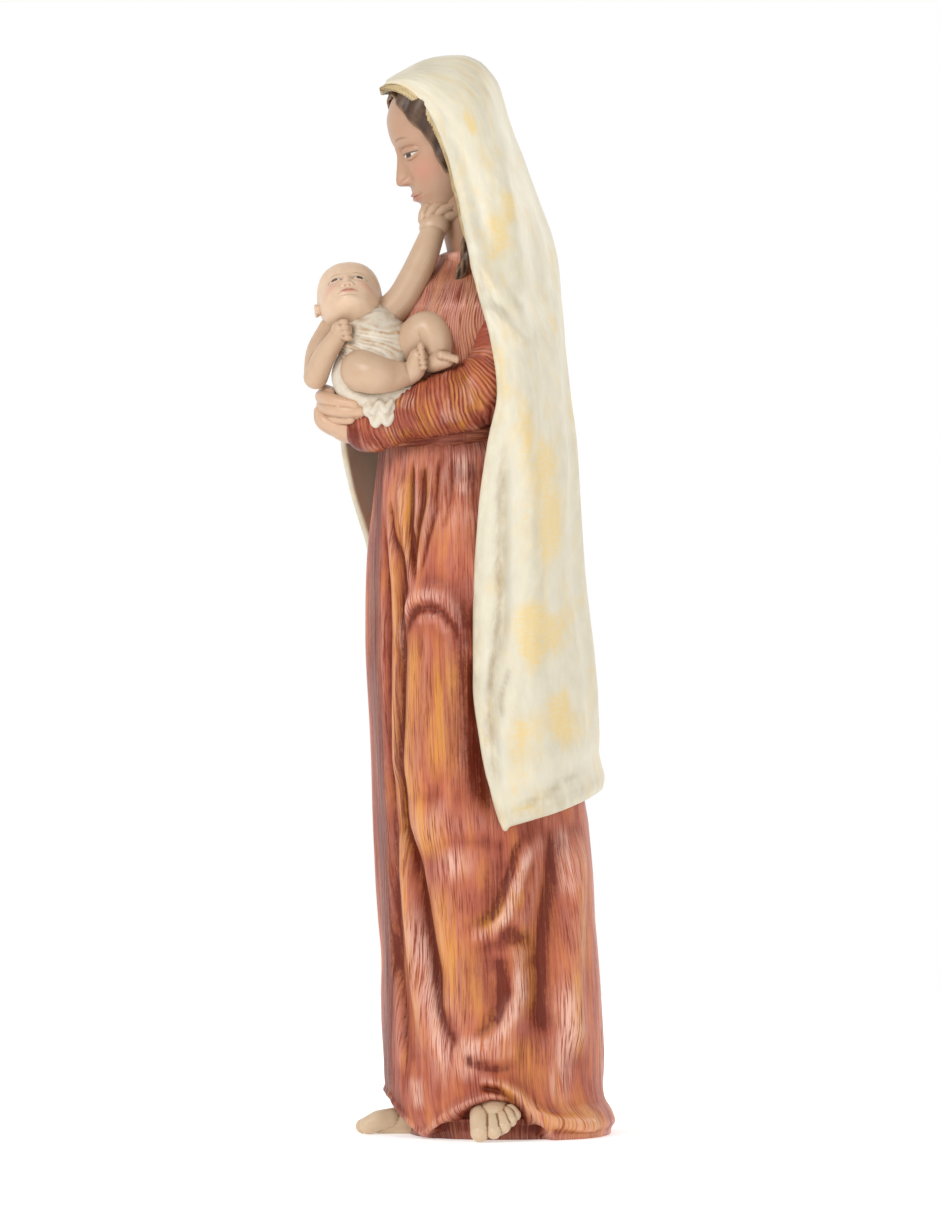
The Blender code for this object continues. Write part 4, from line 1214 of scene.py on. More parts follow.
def mantle_lift(plain, uu, vv):
    """Height of the mantle's carving over its plain outer face."""
    x = plain[..., 0]
    y = plain[..., 1]
    z = plain[..., 2]
    sway = 3.0 * (grain(plain, (26.0, 26.0, 40.0), 2.0) - 0.5)
    near = ease(6.0, 22.0, x)
    far = ease(-6.0, -22.0, x)
    rear = ease(22.0, 36.0, y)
    lift = np.zeros(z.shape)
    sides = ((MANTLE_NEAR, near, y), (MANTLE_FAR, far, y + sway), (MANTLE_REAR, rear, x + sway))
    for folds, side, across in sides:
        for width, depth, sharp, path in folds:
            lift += side * carve(across, z, width, depth, path, sharp, fade=0.2)
    lift += (grain(plain, (20.0, 20.0, 50.0), 6.0) - 0.5) * 1.4
    lift += (grain(plain, (7.0, 7.0, 16.0), 9.0) - 0.5) * 0.4
    edge = np.minimum(uu, 1.0 - uu)
    lift += 0.8 * bell(edge, 0.008, 0.010)
    lift += 1.8 * bell(1.0 - vv, 0.010, 0.013) - 0.8 * bell(1.0 - vv, 0.045, 0.012)
    return lift


def build_mantle():
    """Veil and mantle as one crescent shell: outer face, rolled rims, and a thicker hidden middle."""
    v = spread((54, 112), (0.0, HOOD_SHARE, 1.0))
    u = spread((84, 34, 18), (0.0, 0.5, 0.8, 1.0))
    vv, uu = lattice(v, u)
    plain = mantle_outer(uu, vv, 1.0)
    normal = wrapped_normals(plain, False)
    normal = normal if normal[-20, len(u) // 2, 1] > 0.0 else -normal
    outer = plain + normal * (mantle_lift(plain, uu, vv) * ease(0.0, 0.06, vv))[..., None]
    edge = np.minimum(uu, 1.0 - uu)
    thick = 3.0 + 10.0 * ease(0.08, 0.28, edge) * ease(0.0, 0.10, vv) * ease(1.0, 0.96, vv)
    thick = thick * (0.25 + 0.75 * ease(0.0, 0.09, vv)) + 1.4 * ease(0.96, 1.0, vv)
    inner = plain - normal * thick[..., None]
    verts, faces, (caps, w, k) = folded_shell(outer, inner)
    mesh = raw_mesh("mantle", [(verts, faces)])
    y = verts[:, 1]
    z = verts[:, 2]
    near = ease(10.0, 20.0, verts[:, 0])
    # Golden patches, and olive wash with painted shade along the creases, on the near side.
    gold, shade = (
        np.max([strength * near * carve(y, z, width, 1.0, path, fade=0.3) for strength, width,
                path in strokes], axis=0)
        for strokes in (MANTLE_GOLD, MANTLE_SHADE))
    painted_cloth(mesh, gold, 0.0, shade, 9, 1.2)
    m = 2 * w + 2 * k
    across = np.concatenate((u * 260.0, np.full(k, 262.0), u[::-1] * 260.0 + 500.0, np.full(k, 500.0)))
    along = np.concatenate((np.full(caps, 0.0), v * 480.0, np.full(len(verts) // m - caps - len(v), 480.0)))
    flow(mesh, np.tile(across, len(along)), np.repeat(along, m), 20.0)
    finish_piece("mantle", mesh, "mantle")


LINING_END = 0.35


def build_lining():
    """The veil's ribbed lining: a thinner shell inside the hood whose rim shows as an ochre band."""
    v = np.linspace(0.0, LINING_END, 260)
    u = spread((24, 14, 24), (0.0, 0.2, 0.8, 1.0))
    vv, uu = lattice(v, u)
    draw = 0.03 * ease(HOOD_SHARE, HOOD_SHARE + 0.05, vv)
    plain = mantle_outer(uu * (1.0 - 2.0 * draw) + draw, vv)
    normal = wrapped_normals(plain, False)
    normal = normal if normal[-20, len(u) // 2, 1] > 0.0 else -normal
    rim = np.minimum(uu, 1.0 - uu)
    ribs = 0.22 * np.sin(vv * 2.0 * np.pi / 0.0034) * ease(0.10, 0.05, rim)
    brow = 0.22 * np.sin(uu * 2.0 * np.pi / 0.02) * ease(0.05, 0.0, vv)
    sunk = (2.6 * ease(0.03, 0.10, rim) + 4.0 * ease(0.12, 0.28, rim)) * ease(0.03, 0.12, vv)
    outer = plain - normal * (0.9 + sunk - ribs - brow)[..., None]
    inner = plain - normal * (3.0 + sunk + 0.6 * ease(0.0, 0.05, vv))[..., None]
    verts, faces, (_, w, k) = folded_shell(outer, inner)
    mesh = raw_mesh("veil_lining", [(verts, faces)])
    painted_cloth(mesh, 1.0, 0.0, 0.70, 5, 0.25)
    m = 2 * w + 2 * k
    rows = len(verts) // m
    flow(mesh, np.tile(np.linspace(0.0, 300.0, m), rows), np.repeat(np.linspace(0.0, 200.0, rows), m), 25.0)
    finish_piece("veil_lining", mesh, "mantle")


# Heads
MOTHER_FACE = {
    "wide": ((-0.5, 0.0), (-0.49, 0.07), (-0.46, 0.115), (-0.41, 0.162), (-0.34, 0.208), (-0.25, 0.248),
             (-0.12, 0.280), (0.0, 0.295), (0.12, 0.315), (0.25, 0.312), (0.36, 0.262), (0.44, 0.182),
             (0.485, 0.09), (0.5, 0.0)),
    "front": ((-0.5, -0.30), (-0.48, -0.345), (-0.44, -0.360), (-0.40, -0.356), (-0.36, -0.352),
              (-0.30, -0.364), (-0.22, -0.368), (-0.1, -0.370), (0.0, -0.366), (0.06, -0.374), (0.14, -0.386),
              (0.24, -0.372), (0.34, -0.318), (0.42, -0.238), (0.47, -0.14), (0.5, 0.02)),
    "back": ((-0.5, -0.24), (-0.48, -0.16), (-0.44, -0.04), (-0.38, 0.06), (-0.30, 0.15), (-0.2, 0.24),
             (-0.08, 0.31), (0.05, 0.35), (0.2, 0.35), (0.33, 0.30), (0.42, 0.22), (0.47, 0.13), (0.5, 0.02)),
    "eye": 0.0, "across": 1.0, "tall": 1.0, "deep": 1.0, "nose": 0.95, "cheek": 0.8, "brow": 0.6,
               "open": 0.30,
    # The mother's skin here is darker than the SKIN of her hands: brown antiquing with painted shade over the
    # face under the veil.
    "blush": 0.38, "hair": 0.0, "skin": linear(180, 143, 117), "iris": 0.024,
}
CHILD_FACE = {
    "wide": ((-0.5, 0.0), (-0.49, 0.10), (-0.46, 0.17), (-0.41, 0.24), (-0.34, 0.30), (-0.25, 0.345),
             (-0.12, 0.375), (0.0, 0.39), (0.12, 0.405), (0.25, 0.39), (0.36, 0.32), (0.44, 0.22),
             (0.485, 0.11), (0.5, 0.0)),
    "front": ((-0.5, -0.24), (-0.48, -0.31), (-0.44, -0.345), (-0.40, -0.352), (-0.36, -0.356),
              (-0.30, -0.372), (-0.22, -0.385), (-0.1, -0.388), (0.0, -0.394), (0.1, -0.41), (0.2, -0.405),
              (0.3, -0.365), (0.38, -0.295), (0.45, -0.19), (0.485, -0.09), (0.5, 0.02)),
    "back": ((-0.5, -0.16), (-0.48, -0.06), (-0.44, 0.06), (-0.38, 0.17), (-0.30, 0.27), (-0.2, 0.36),
             (-0.08, 0.43), (0.05, 0.46), (0.2, 0.45), (0.33, 0.37), (0.42, 0.26), (0.47, 0.16), (0.5, 0.02)),
    "eye": -0.08, "across": 1.16, "tall": 0.86, "deep": 0.8, "nose": 0.60, "cheek": 1.4, "brow": 0.0,
              "open": 2.5,
    "blush": 0.40, "hair": 1.0, "skin": linear(215, 186, 158), "iris": 0.036,
}

# Brow, socket, inner corner, lid fold, wings of the nose and their creases, nostrils, mouth, groove above
# it, corners of the mouth, hollow below, chin, cheek and temple: height, what scales it, place and width
# across, place and width up
FACE_BUMPS = (
    (0.014, "brow", 0.125, 0.085, 0.080, 0.036),
    (-0.032, "", 0.138, 0.074, 0.002, 0.050),
    (-0.016, "", 0.058, 0.028, 0.012, 0.040),
    (-0.005, "", 0.138, 0.060, 0.042, 0.005),
    (0.040, "nose", 0.049, 0.020, -0.182, 0.024),
    (-0.008, "", 0.080, 0.012, -0.180, 0.030),
    (-0.024, "", 0.024, 0.011, -0.207, 0.008),
    (0.014, "", 0.0, 0.13, -0.298, 0.064),
    (-0.006, "", 0.0, 0.012, -0.247, 0.018),
    (-0.010, "", 0.106, 0.014, -0.296, 0.018),
    (-0.012, "", 0.0, 0.080, -0.368, 0.020),
    (0.020, "", 0.0, 0.075, -0.425, 0.045),
    (0.022, "cheek", 0.185, 0.085, -0.150, 0.090),
    (-0.010, "", 0.265, 0.050, 0.080, 0.080),
)
# Tip of the nose, upper lid and inner corner of the eye: strength, place and width across,
# place and width up, colour. The lid and the inner corner are painted darker as painted shade in the eye's
# socket.
FACE_TINTS = (
    (0.25, 0.0, 0.05, -0.18, 0.03, (200, 124, 102)),
    (0.34, 0.138, 0.080, 0.028, 0.026, (160, 108, 84)),
    (0.34, 0.060, 0.020, 0.010, 0.032, (150, 100, 78)),
)
NOSE_HEIGHT = ((-0.235, 0.0), (-0.220, 0.014), (-0.209, 0.046), (-0.197, 0.080), (-0.178, 0.098),
               (-0.158, 0.095), (-0.11, 0.074), (-0.05, 0.048), (0.0, 0.030), (0.04, 0.018), (0.08, 0.006),
               (0.12, 0.0))
NOSE_WIDTH = ((-0.235, 0.055), (-0.19, 0.047), (-0.15, 0.040), (-0.10, 0.034), (0.0, 0.030), (0.06, 0.048))
EYE_ACROSS = 0.138


def lid_lines(ax, face):
    """Heights of the upper and lower lid edges across an eye, arcs over its width."""
    arch = np.clip(1.0 - ((ax - EYE_ACROSS) / 0.068) ** 2, 0.0, 1.0)
    return -0.010 + face["open"] * 0.026 * arch, -0.014 - 0.015 * arch


def face_relief(x, z, face):
    """Height of the features over the plain face, in head heights, from bells and ridges.

    x runs across from the middle line and z up from the eye line, each divided by the face's scale.
    """
    ax = np.abs(x / face["across"])
    zz = (z - face["eye"]) / face["tall"]
    out = np.zeros(np.shape(ax))
    for height, scale, across, wide, up, tall in FACE_BUMPS:
        out += height * face.get(scale, 1.0) * bell(ax, across, wide) * bell(zz, up, tall)
    r2 = ((ax - EYE_ACROSS) / 0.076) ** 2 + ((zz + 0.002) / 0.049) ** 2
    out += 0.033 * np.sqrt(np.clip(1.0 - r2, 0.0, 1.0))
    inside = ease(1.05, 0.80, r2)
    upper, lower = lid_lines(ax, face)
    out += 0.008 * inside * ease(-0.002, 0.003, zz - upper)
    out += 0.006 * inside * ease(0.003, -0.003, zz - lower)
    out += face["nose"] * track(zz, NOSE_HEIGHT) * np.exp(-(ax / track(zz, NOSE_WIDTH)) ** 2.2)
    corner = 0.9 * ax ** 2
    dip = 1.0 - 0.25 * bell(ax, 0.0, 0.012)
    out += 0.017 * np.exp(-(ax / 0.092) ** 4) * bell(zz, -0.284 - 0.2 * ax, 0.014) * dip
    out += 0.020 * np.exp(-(ax / 0.076) ** 4) * bell(zz, -0.323 + 0.6 * corner, 0.018)
    out -= 0.012 * np.exp(-(ax / 0.100) ** 6) * bell(zz, -0.303 + corner, 0.0055)
    return out * face["deep"]


def face_colour(x, y, z, face):
    """Paint of a head at local points: skin, blush, lips, eyes, lash lines, brows, painted shade on the upper
    lids, in the inner corners of the eyes and in the nostrils, and hair at the back.
    """
    ax = np.abs(x) / face["across"]
    zz = (z - face["eye"]) / face["tall"]
    front = ease(-0.10, -0.22, y)
    colour = np.tile(np.array(face["skin"]), x.shape + (1,))

    def lay(mask, value):
        nonlocal colour
        mask = np.clip(mask * front, 0.0, 1.0)[..., None]
        colour = colour * (1.0 - mask) + np.array(value) * mask

    lay(face["blush"] * bell(ax, 0.195, 0.085) * bell(zz, -0.145, 0.080), linear(204, 120, 100))
    # The upper lid and inner corner tints are painted shade in the eye's socket.
    for strength, across, broad, up, tall, tone in FACE_TINTS:
        lay(strength * bell(ax, across, broad) * bell(zz, up, tall), linear(*tone))
    upper, lower = lid_lines(ax, face)
    wide = ease(0.074, 0.066, np.abs(ax - EYE_ACROSS))
    gap = ease(-0.002, 0.001, upper - zz) * ease(-0.002, 0.001, zz - lower) * wide
    lay(gap, linear(222, 212, 198))
    centre = (lower + upper) / 2.0 - 0.002
    lay(gap * ease(face["iris"] + 0.003, face["iris"] - 0.002, np.hypot(ax - 0.136, zz - centre)),
        linear(44, 27, 19))
    lay(0.95 * wide * bell(zz, upper + 0.003, 0.0060), linear(50, 31, 23))
    lay(0.45 * wide * bell(zz, lower, 0.004), linear(112, 72, 56))
    brow = 0.094 + 0.020 * np.clip(1.0 - ((ax - 0.135) / 0.09) ** 2, -1.0, 1.0)
    lay(0.60 * ease(0.210, 0.16, ax) * ease(0.050, 0.085, ax) * bell(zz, brow, 0.0065), linear(96, 66, 48))
    corner = 0.9 * ax ** 2
    lay(0.85 * np.exp(-(ax / 0.090) ** 4) * bell(zz, -0.286 - 0.2 * ax, 0.013), linear(178, 94, 84))
    lay(0.80 * np.exp(-(ax / 0.076) ** 4) * bell(zz, -0.323 + 0.6 * corner, 0.016), linear(190, 108, 96))
    lay(0.80 * np.exp(-(ax / 0.094) ** 6) * bell(zz, -0.303 + corner, 0.0045), linear(104, 50, 42))
    # The nostrils are painted dark, as painted shade inside them.
    lay(0.70 * bell(ax, 0.024, 0.010) * bell(zz, -0.208, 0.006), linear(104, 60, 48))
    if face["hair"] > 0.0:
        place = np.stack((x, y, z), axis=-1)
        line = y + 0.55 * z + 0.12 * (grain(place, (0.05, 0.05, 0.05), 3.0) - 0.5)
        mask = face["hair"] * ease(0.09, 0.14, line)[..., None]
        tone = 0.6 + 0.8 * grain(place, (0.02, 0.04, 0.02), 7.0)[..., None]
        colour = colour * (1.0 - mask) + np.array(linear(70, 48, 32)) * tone * mask
    return colour


def head_points(zz, tt, face):
    """Points of a head at heights and angles: sections with superellipse halves and features in front."""
    wide = track(zz, face["wide"])
    front = track(zz, face["front"])
    back = track(zz, face["back"])
    mid = 0.55 * back + 0.45 * front
    s = np.sin(tt)
    x = wide * bent(np.cos(tt), 0.90)
    y = mid + np.where(s < 0.0, mid - front, back - mid) * bent(s, 0.90)
    y = y - face_relief(x, zz, face) * ease(0.05, 0.55, -s)
    return np.stack((x, y, zz), axis=-1)


def placed(local, head):
    """Local head points carried to the head's size, turn and place."""
    return local * head["size"] @ turning(head["turn"]).T + np.array(head["centre"], dtype=float)


def head_mesh(name, head, face, rows, cols):
    """A head: rows closer together over the features, columns closer together at the front."""
    z = spread(rows, (-0.499, -0.25, 0.13, 0.42, 0.499))
    t = np.radians(spread(cols, (-155.0, -25.0, 205.0)))[:-1]
    zz, tt = lattice(z, t)
    local = head_points(zz, tt, face)
    colour = face_colour(local[..., 0], local[..., 1], zz, face)
    if face["hair"] > 0.0:
        curl = grain(local, (0.03, 0.03, 0.07), 5.0) - 0.35
        tuft = ease(0.13, 0.22, local[..., 1] + 0.55 * zz) * curl * 0.035
        local = local + unit(local) * tuft[..., None]
    mesh = raw_mesh(name, [closed_tube(placed(local, head))])
    colour = capped(colour)
    # Brown wash with painted shade in the head's creases.
    level = relief(mesh, 7, 0.35)
    hollow = 0.35 * np.clip(-level, 0.0, 1.0)[:, None]
    colour = colour * (1.0 - hollow) + np.array(SKIN_WASH_AND_SHADE) * hollow
    tint(mesh, colour)
    return mesh


MOTHER_HEAD = {"size": 80.0, "centre": (0.0, -20.0, 554.0), "turn": (21.0, 0.0, 10.0)}
CHILD_HEAD = {"size": 44.5, "centre": (26.0, -75.0, 462.5), "turn": (-54.0, -6.0, 90.0)}


def build_mother_head():
    """The mother's head and neck."""
    mesh = head_mesh("mother_head", MOTHER_HEAD, MOTHER_FACE, (62, 96, 28, 10), (170, 40))
    finish_piece("mother_head", mesh, "skin")
    path = ((0, -5, 482), (0, -10, 500), (0, -15, 520), (0, -19, 536))
    rings, _, _ = limb_rings(path, (14.5, 13.0, 14.0, 16), 1.0, (0.0, 1.0, 0.0), 40, 56)
    neck = raw_mesh("neck", [closed_tube(rings)])
    # The neck's skin is painted darker than the face's, as painted shade under the chin and the veil.
    painted_skin(neck, 0.5, base=linear(172, 134, 106))
    finish_piece("neck", neck, "skin")


# Edge of the hair and its last strand under the veil, as degrees from the parting and height in the head
HAIRLINE = ((3, 0.405), (22, 0.380), (40, 0.30), (52, 0.19), (60, 0.06), (66, -0.07), (73, -0.20))
HAIR_BACK = ((6, 0.465), (36, 0.445), (58, 0.37), (72, 0.25), (82, 0.10), (90, -0.05), (96, -0.20))


def wavy(path, count, size, turns, shift):
    """A path resampled with a sideways wave of the given size."""
    t = np.linspace(0.0, 1.0, count)
    mid = spline(path, t)
    along = unit(np.gradient(mid, axis=0))
    side = unit(np.cross(along, np.array((0.35, 0.6, 0.7))))
    wave = np.sin(t * turns * 2.0 * np.pi + shift) * size * ease(0.0, 0.08, t)
    lift = np.cos(t * turns * 2.0 * np.pi + shift) * size * 0.25
    return mid + side * wave[:, None] + np.cross(along, side) * lift[:, None]


def build_hair():
    """Wavy locks laid on the head from a middle parting down each side of the face under the veil."""
    strands = []
    for side in (1.0, -1.0):
        for k in range(10):
            f = k / 9.0
            line = np.array(HAIRLINE) * (1.0 - f) + np.array(HAIR_BACK) * f
            angle = np.radians(-90.0 + side * line[:, 0])
            local = head_points(line[:, 1], angle, MOTHER_FACE)
            local = local + unit(local * (1.0, 1.0, 0.6)) * 0.022
            path = wavy(placed(local, MOTHER_HEAD), 60, 0.9, 4.8, k * 0.3)
            strands.append(limb(path, (0.8, 1.15, 1.3, 1.3, 1.1), 1.0, (0.0, 0.0, 1.0), 110, 10))
        lock = np.array(((20, -5, 541), (22.5, -5, 522), (25, -8.5, 501), (28, -11.5, 484), (29, -14, 475),
                         (30.5, -18, 467)))
        for k in range(3):
            path = wavy(lock * np.array((side, 1.0, 1.0)) + (0.0, 1.6 * (k - 1), 0.0), 60, 0.9, 5.0, k * 2.0)
            strands.append(limb(path, (1.6, 1.8, 1.8, 1.5, 0.7), 1.0, (0.0, 1.0, 0.0), 90, 10))
    strands.append(ball((0.0, -9.0, 560.0), (22.0, 21.0, 26.0), (14.0, 0.0, 0.0), 30, 48))
    mesh = fused("hair", strands, 0.66, 1)
    attribute(mesh, "ridge", np.clip(1.6 * relief(mesh, 4, 0.3), 0.0, 1.0))
    finish_piece("hair", mesh, "hair")


# Hands and feet
def finger(points, radii):
    """A slim limb."""
    return limb(points, radii, 1.0, (0.3, 0.2, 1.0), 18, 14)


def build_hands():
    """Both of the mother's hands, crossed under the child."""
    near = [
        limb(((38, -55, 393.5), (34, -66, 391), (30, -77, 391), (26, -85, 395)), (10.2, 9.6, 8.6, 6.6), 0.88),
        finger(((35, -72, 391), (34, -82, 392), (32, -89, 396), (29, -91, 401)), (4.2, 4.1, 3.8, 3.0)),
        finger(((31, -74, 389), (28, -84, 391), (25, -91, 396), (23, -92, 401)), (4.2, 4.1, 3.8, 3.0)),
        finger(((27, -73, 389), (22, -83, 391), (19, -90, 397), (17, -91, 402)), (4.1, 4.0, 3.7, 2.9)),
        finger(((22, -72, 390), (16, -81, 393), (13, -87, 398), (11, -88, 402)), (3.9, 3.8, 3.4, 2.7)),
        finger(((39, -63, 396), (42, -71, 400), (43, -76, 402), (43, -80, 403)), (4.8, 4.4, 3.9, 3.1)),
    ]
    far = [
        limb(((-14, -67, 399.5), (-6, -75, 400), (4, -83, 402), (14, -86, 404)), (8.4, 8.4, 8.6, 7.8), 0.9),
        finger(((14, -88, 408), (27, -90, 409), (37, -87, 407.5), (43, -80, 405.5), (46, -72, 404)),
               (4.3, 4.2, 4.0, 3.6, 2.9)),
        finger(((14, -87, 403), (27, -89, 403), (38, -85, 402), (44, -77, 400.5), (46, -68, 400)),
               (4.3, 4.2, 4.0, 3.6, 2.9)),
        finger(((12, -86, 398), (24, -87, 398), (35, -83, 397), (42, -74, 396)), (4.1, 4.0, 3.6, 2.9)),
        finger(((12, -85, 411), (22, -88, 412), (30, -88, 412), (36, -85, 410)), (4.0, 3.9, 3.6, 2.9)),
    ]
    for name, pieces in (("near_hand", near), ("far_hand", far)):
        mesh = fused(name, pieces, 0.64, 2)
        painted_skin(mesh, 1.8, 8, 0.7)
        finish_piece(name, mesh, "skin")


def build_feet():
    """Both bare feet, toes under the lifted hems, each toe carried back into the instep as its own ray."""
    near = [limb(((34, 3, 13), (50, 4, 14.5), (62, 4.5, 11.5)), (13.5, 13.4, 11.0), 0.86)]
    toes = ((76, -3.0, 5.4, 5.4), (77, 4.6, 5.8, 4.2), (74.5, 10.0, 8.4, 3.9), (70.5, 13.8, 11.4, 3.6),
            (65, 16.4, 14.2, 3.4))
    for x, y, z, r in toes:
        root = np.array((58.0, 2.0 + (y - 4.0) * 0.72, 14.8 - (y - 4.0) * 0.02))
        tip = np.array((x, y, z))
        knee = root * 0.45 + tip * 0.55 + np.array((0.6, 0.0, 2.2))
        near.append(limb((root, knee, tip), (r * 1.02, r * 1.04, r * 0.98), 1.0, (0.3, 0.0, 1.0), 26, 16))
    front = [limb(((4, -26, 6.5), (7, -44, 7.5), (8, -57, 6.6)), (11.5, 11.0, 9.4), 0.72)]
    for x, y, r in ((15.0, -64.5, 5.2), (8.6, -67.8, 4.2), (3.4, -66.6, 3.8), (-0.8, -63.8, 3.5),
                    (-4.4, -60.4, 3.2)):
        root = np.array((8.0 + (x - 6.0) * 0.6, -52.0, 8.6))
        tip = np.array((x, y, r * 0.98))
        knee = root * 0.42 + tip * 0.58 + np.array((0.0, 0.0, 1.0))
        front.append(limb((root, knee, tip), (r * 1.05, r * 1.08, r), 1.0, (0.0, -0.3, 1.0), 26, 16))
    for name, pieces in (("near_foot", near), ("front_foot", front)):
        mesh = fused(name, pieces, 0.6, 1)
        co = points_of(mesh)
        co[:, 2] = np.maximum(co[:, 2], 0.0)
        mesh.vertices.foreach_set("co", co.astype(np.float32).ravel())
        mesh.update()
        # Strong brown wash with painted shade in the slots between the toes.
        painted_skin(mesh, 4.6, 4, 0.36, FOOT)
        finish_piece(name, mesh, "skin")


# The child
def build_child():
    """The child's head, ears, limbs and body."""
    mesh = head_mesh("child_head", CHILD_HEAD, CHILD_FACE, (48, 80, 22, 10), (164, 40))
    finish_piece("child_head", mesh, "skin")
    ears = []
    for side in (1.0, -1.0):
        w = np.radians(np.linspace(-70.0, 170.0, 15))
        curl = np.stack((np.full(15, side * 0.425), 0.055 + 0.050 * np.cos(w), -0.09 + 0.085 * np.sin(w)),
                        axis=-1)
        ears.append(limb(placed(curl, CHILD_HEAD), (0.9, 1.1, 1.1, 0.9), 1.0, (0.1, 0.9, 0.3), 40, 12))
        ears.append(ball(placed(np.array((side * 0.39, 0.05, -0.09)), CHILD_HEAD), (1.9, 2.4, 3.2),
                         (0, 0, 0), 16, 20))
    mesh = fused("child_ears", ears, 0.4, 2)
    painted_skin(mesh, 1.4, 8, 0.3, CHILD_FACE["skin"])
    finish_piece("child_ears", mesh, "skin")
    masses = [
        limb(((30, -62, 414), (32, -61, 428), (30, -63, 442), (26, -68, 453)), (14, 19, 18, 11)),
        limb(((26, -85, 446), (31, -92, 433), (35, -93.5, 419.5)), (7.4, 7.0, 6.8)),
        limb(((35, -93.5, 419.5), (41.5, -89, 430), (46, -81.5, 441)), (6.8, 6.4, 5.2)),
        ball((47, -79, 444.5), (5.6, 6.0, 6.2)),
        limb(((25, -55, 453), (24, -46, 463), (21.5, -40, 474), (18, -34, 487), (14, -29.5, 499)),
             (9.8, 8.9, 8.4, 8.0, 7.0)),
        ball((13, -28, 504), (6.2, 8.8, 7.2), (20.0, 0.0, 0.0)),
        finger(((13.5, -24, 507), (12.5, -20, 509.5), (11.5, -16, 510.5)), (3.1, 2.9, 2.3)),
        finger(((13.5, -27, 509), (12.5, -23, 513), (11.5, -19, 515)), (3.1, 2.9, 2.4)),
        finger(((13, -31, 509), (12, -28.5, 513.5), (11, -25.5, 516)), (3.1, 2.9, 2.4)),
        finger(((12, -34.5, 507.5), (11, -34, 512), (10, -32, 515)), (2.9, 2.7, 2.2)),
        limb(((32, -63, 420), (43, -67, 422.5), (51, -67.5, 422.5), (55, -61, 420.5), (52, -52, 419.8),
              (49, -44, 420.5)),
             (12.0, 12.4, 11.8, 11.0, 9.2, 6.9), 1.0, (0.0, 0.0, 1.0), 50, 30),
        limb(((49, -43, 420), (51.5, -39, 423), (53, -37, 430)), (6.2, 6.0, 5.0)),
        limb(((30, -50, 424), (38, -40, 438), (43, -31, 445), (46, -27, 437), (47, -26, 430)),
             (11.5, 11.8, 11.4, 10.0, 7.4), 1.0, (1.0, 0.2, 0.3), 50, 30),
        limb(((46, -29, 427), (52, -25.5, 428), (55, -21.5, 428.5)), (5.8, 5.6, 4.6)),
    ]
    for k in range(5):
        f = k / 4.0
        big = 0.7 if k == 0 else 0.0
        masses.append(ball((56.6, -35.4 + 1.6 * f, 435.6 - 11.6 * f), (3.0, 2.1, 1.9 - 0.4 * f + big)))
        place = (60.0 - 1.0 * f, -24.0 + 8.4 * f, 430.8 - 2.4 * f)
        masses.append(ball(place, (3.0, 1.8 - 0.35 * f + big, 2.4)))
    for k in range(4):
        masses.append(ball((52.0 - 0.4 * k, -77.8 + 0.7 * k, 449.4 - 3.0 * k), (2.6, 2.8, 1.7)))
    mesh = fused("child_body", masses, 0.66, 1)
    painted_skin(mesh, 2.6, 6, 0.7, linear(195, 165, 137))
    finish_piece("child_body", mesh, "skin")


def build_wrap():
    """The child's wrap: a creased cloth round its middle that sweeps down to the hip, and its loose end."""
    path = ((29, -62, 410), (33, -60, 428), (32, -62, 441), (28, -66.5, 451))
    rings, t, a = limb_rings(path, (17.0, 20.8, 19.8, 13.2), 1.0, (1.0, 0.0, 0.0), 90, 120, 6)
    tt, aa = lattice(t, a)
    wander = (grain(rings, (12.0, 12.0, 12.0), 3.0) - 0.5) * 8.0
    sweep = tt * 44.0 + 15.0 * np.cos(aa - 0.8) + wander
    height = 0.45 * np.sin(sweep * 2.0 * np.pi / 2.8) * (0.3 + 0.7 * grain(rings, (8.0, 8.0, 8.0), 7.0))
    height += 0.6 * np.sin((sweep + 3.0 * grain(rings, (6.0, 6.0, 6.0), 9.0)) * 2.0 * np.pi / 9.0)
    rings = rings + outward(rings, wrapped_normals(rings, True)) * height[..., None]
    mesh = raw_mesh("wrap", [closed_tube(rings)])
    painted_cloth(mesh, 0.0, 0.0, 0.0, 6, 0.5, 0, 1.4)
    finish_piece("wrap", mesh, "cloth")
    lumps = [
        limb(((48, -63, 401), (49, -57, 399.5), (49.5, -51, 402)), (4.6, 5.0, 4.0)),
        limb(((49, -64, 405), (53, -61.5, 400), (52, -58, 405), (54, -55, 400.5), (52, -51.5, 406)),
             (1.7, 2.2, 1.8, 2.2, 1.5),
             1.0, (0.0, 0.0, 1.0), 60, 16),
        limb(((49, -63, 398), (52, -60, 393), (51.5, -57, 398), (53, -54, 393.5), (52, -50.5, 398)),
             (1.8, 2.2, 1.8, 2.0, 1.4),
             1.0, (0.0, 0.0, 1.0), 60, 16),
    ]
    lumps.append(limb(((38, -66, 438), (37, -76, 430), (37.5, -79, 419), (40, -74.5, 410), (45, -64, 406.5),
                       (48, -52, 408),
                       (48, -40, 412)), (3.6, 5.0, 5.8, 5.8, 5.0, 4.2, 2.4), 1.0, (1.0, 0.0, 0.0), 60, 24))
    mesh = fused("frill", lumps, 0.55, 1)
    painted_cloth(mesh, 0.0, 0.0, 0.0, 6, 0.5)
    finish_piece("frill", mesh, "cloth")


# Stage
CAMERA_AT = 4.0
CAMERA_UP = 0.2923
VIEW_MIDDLE = -0.00835
VIEW_TALL = 0.6767


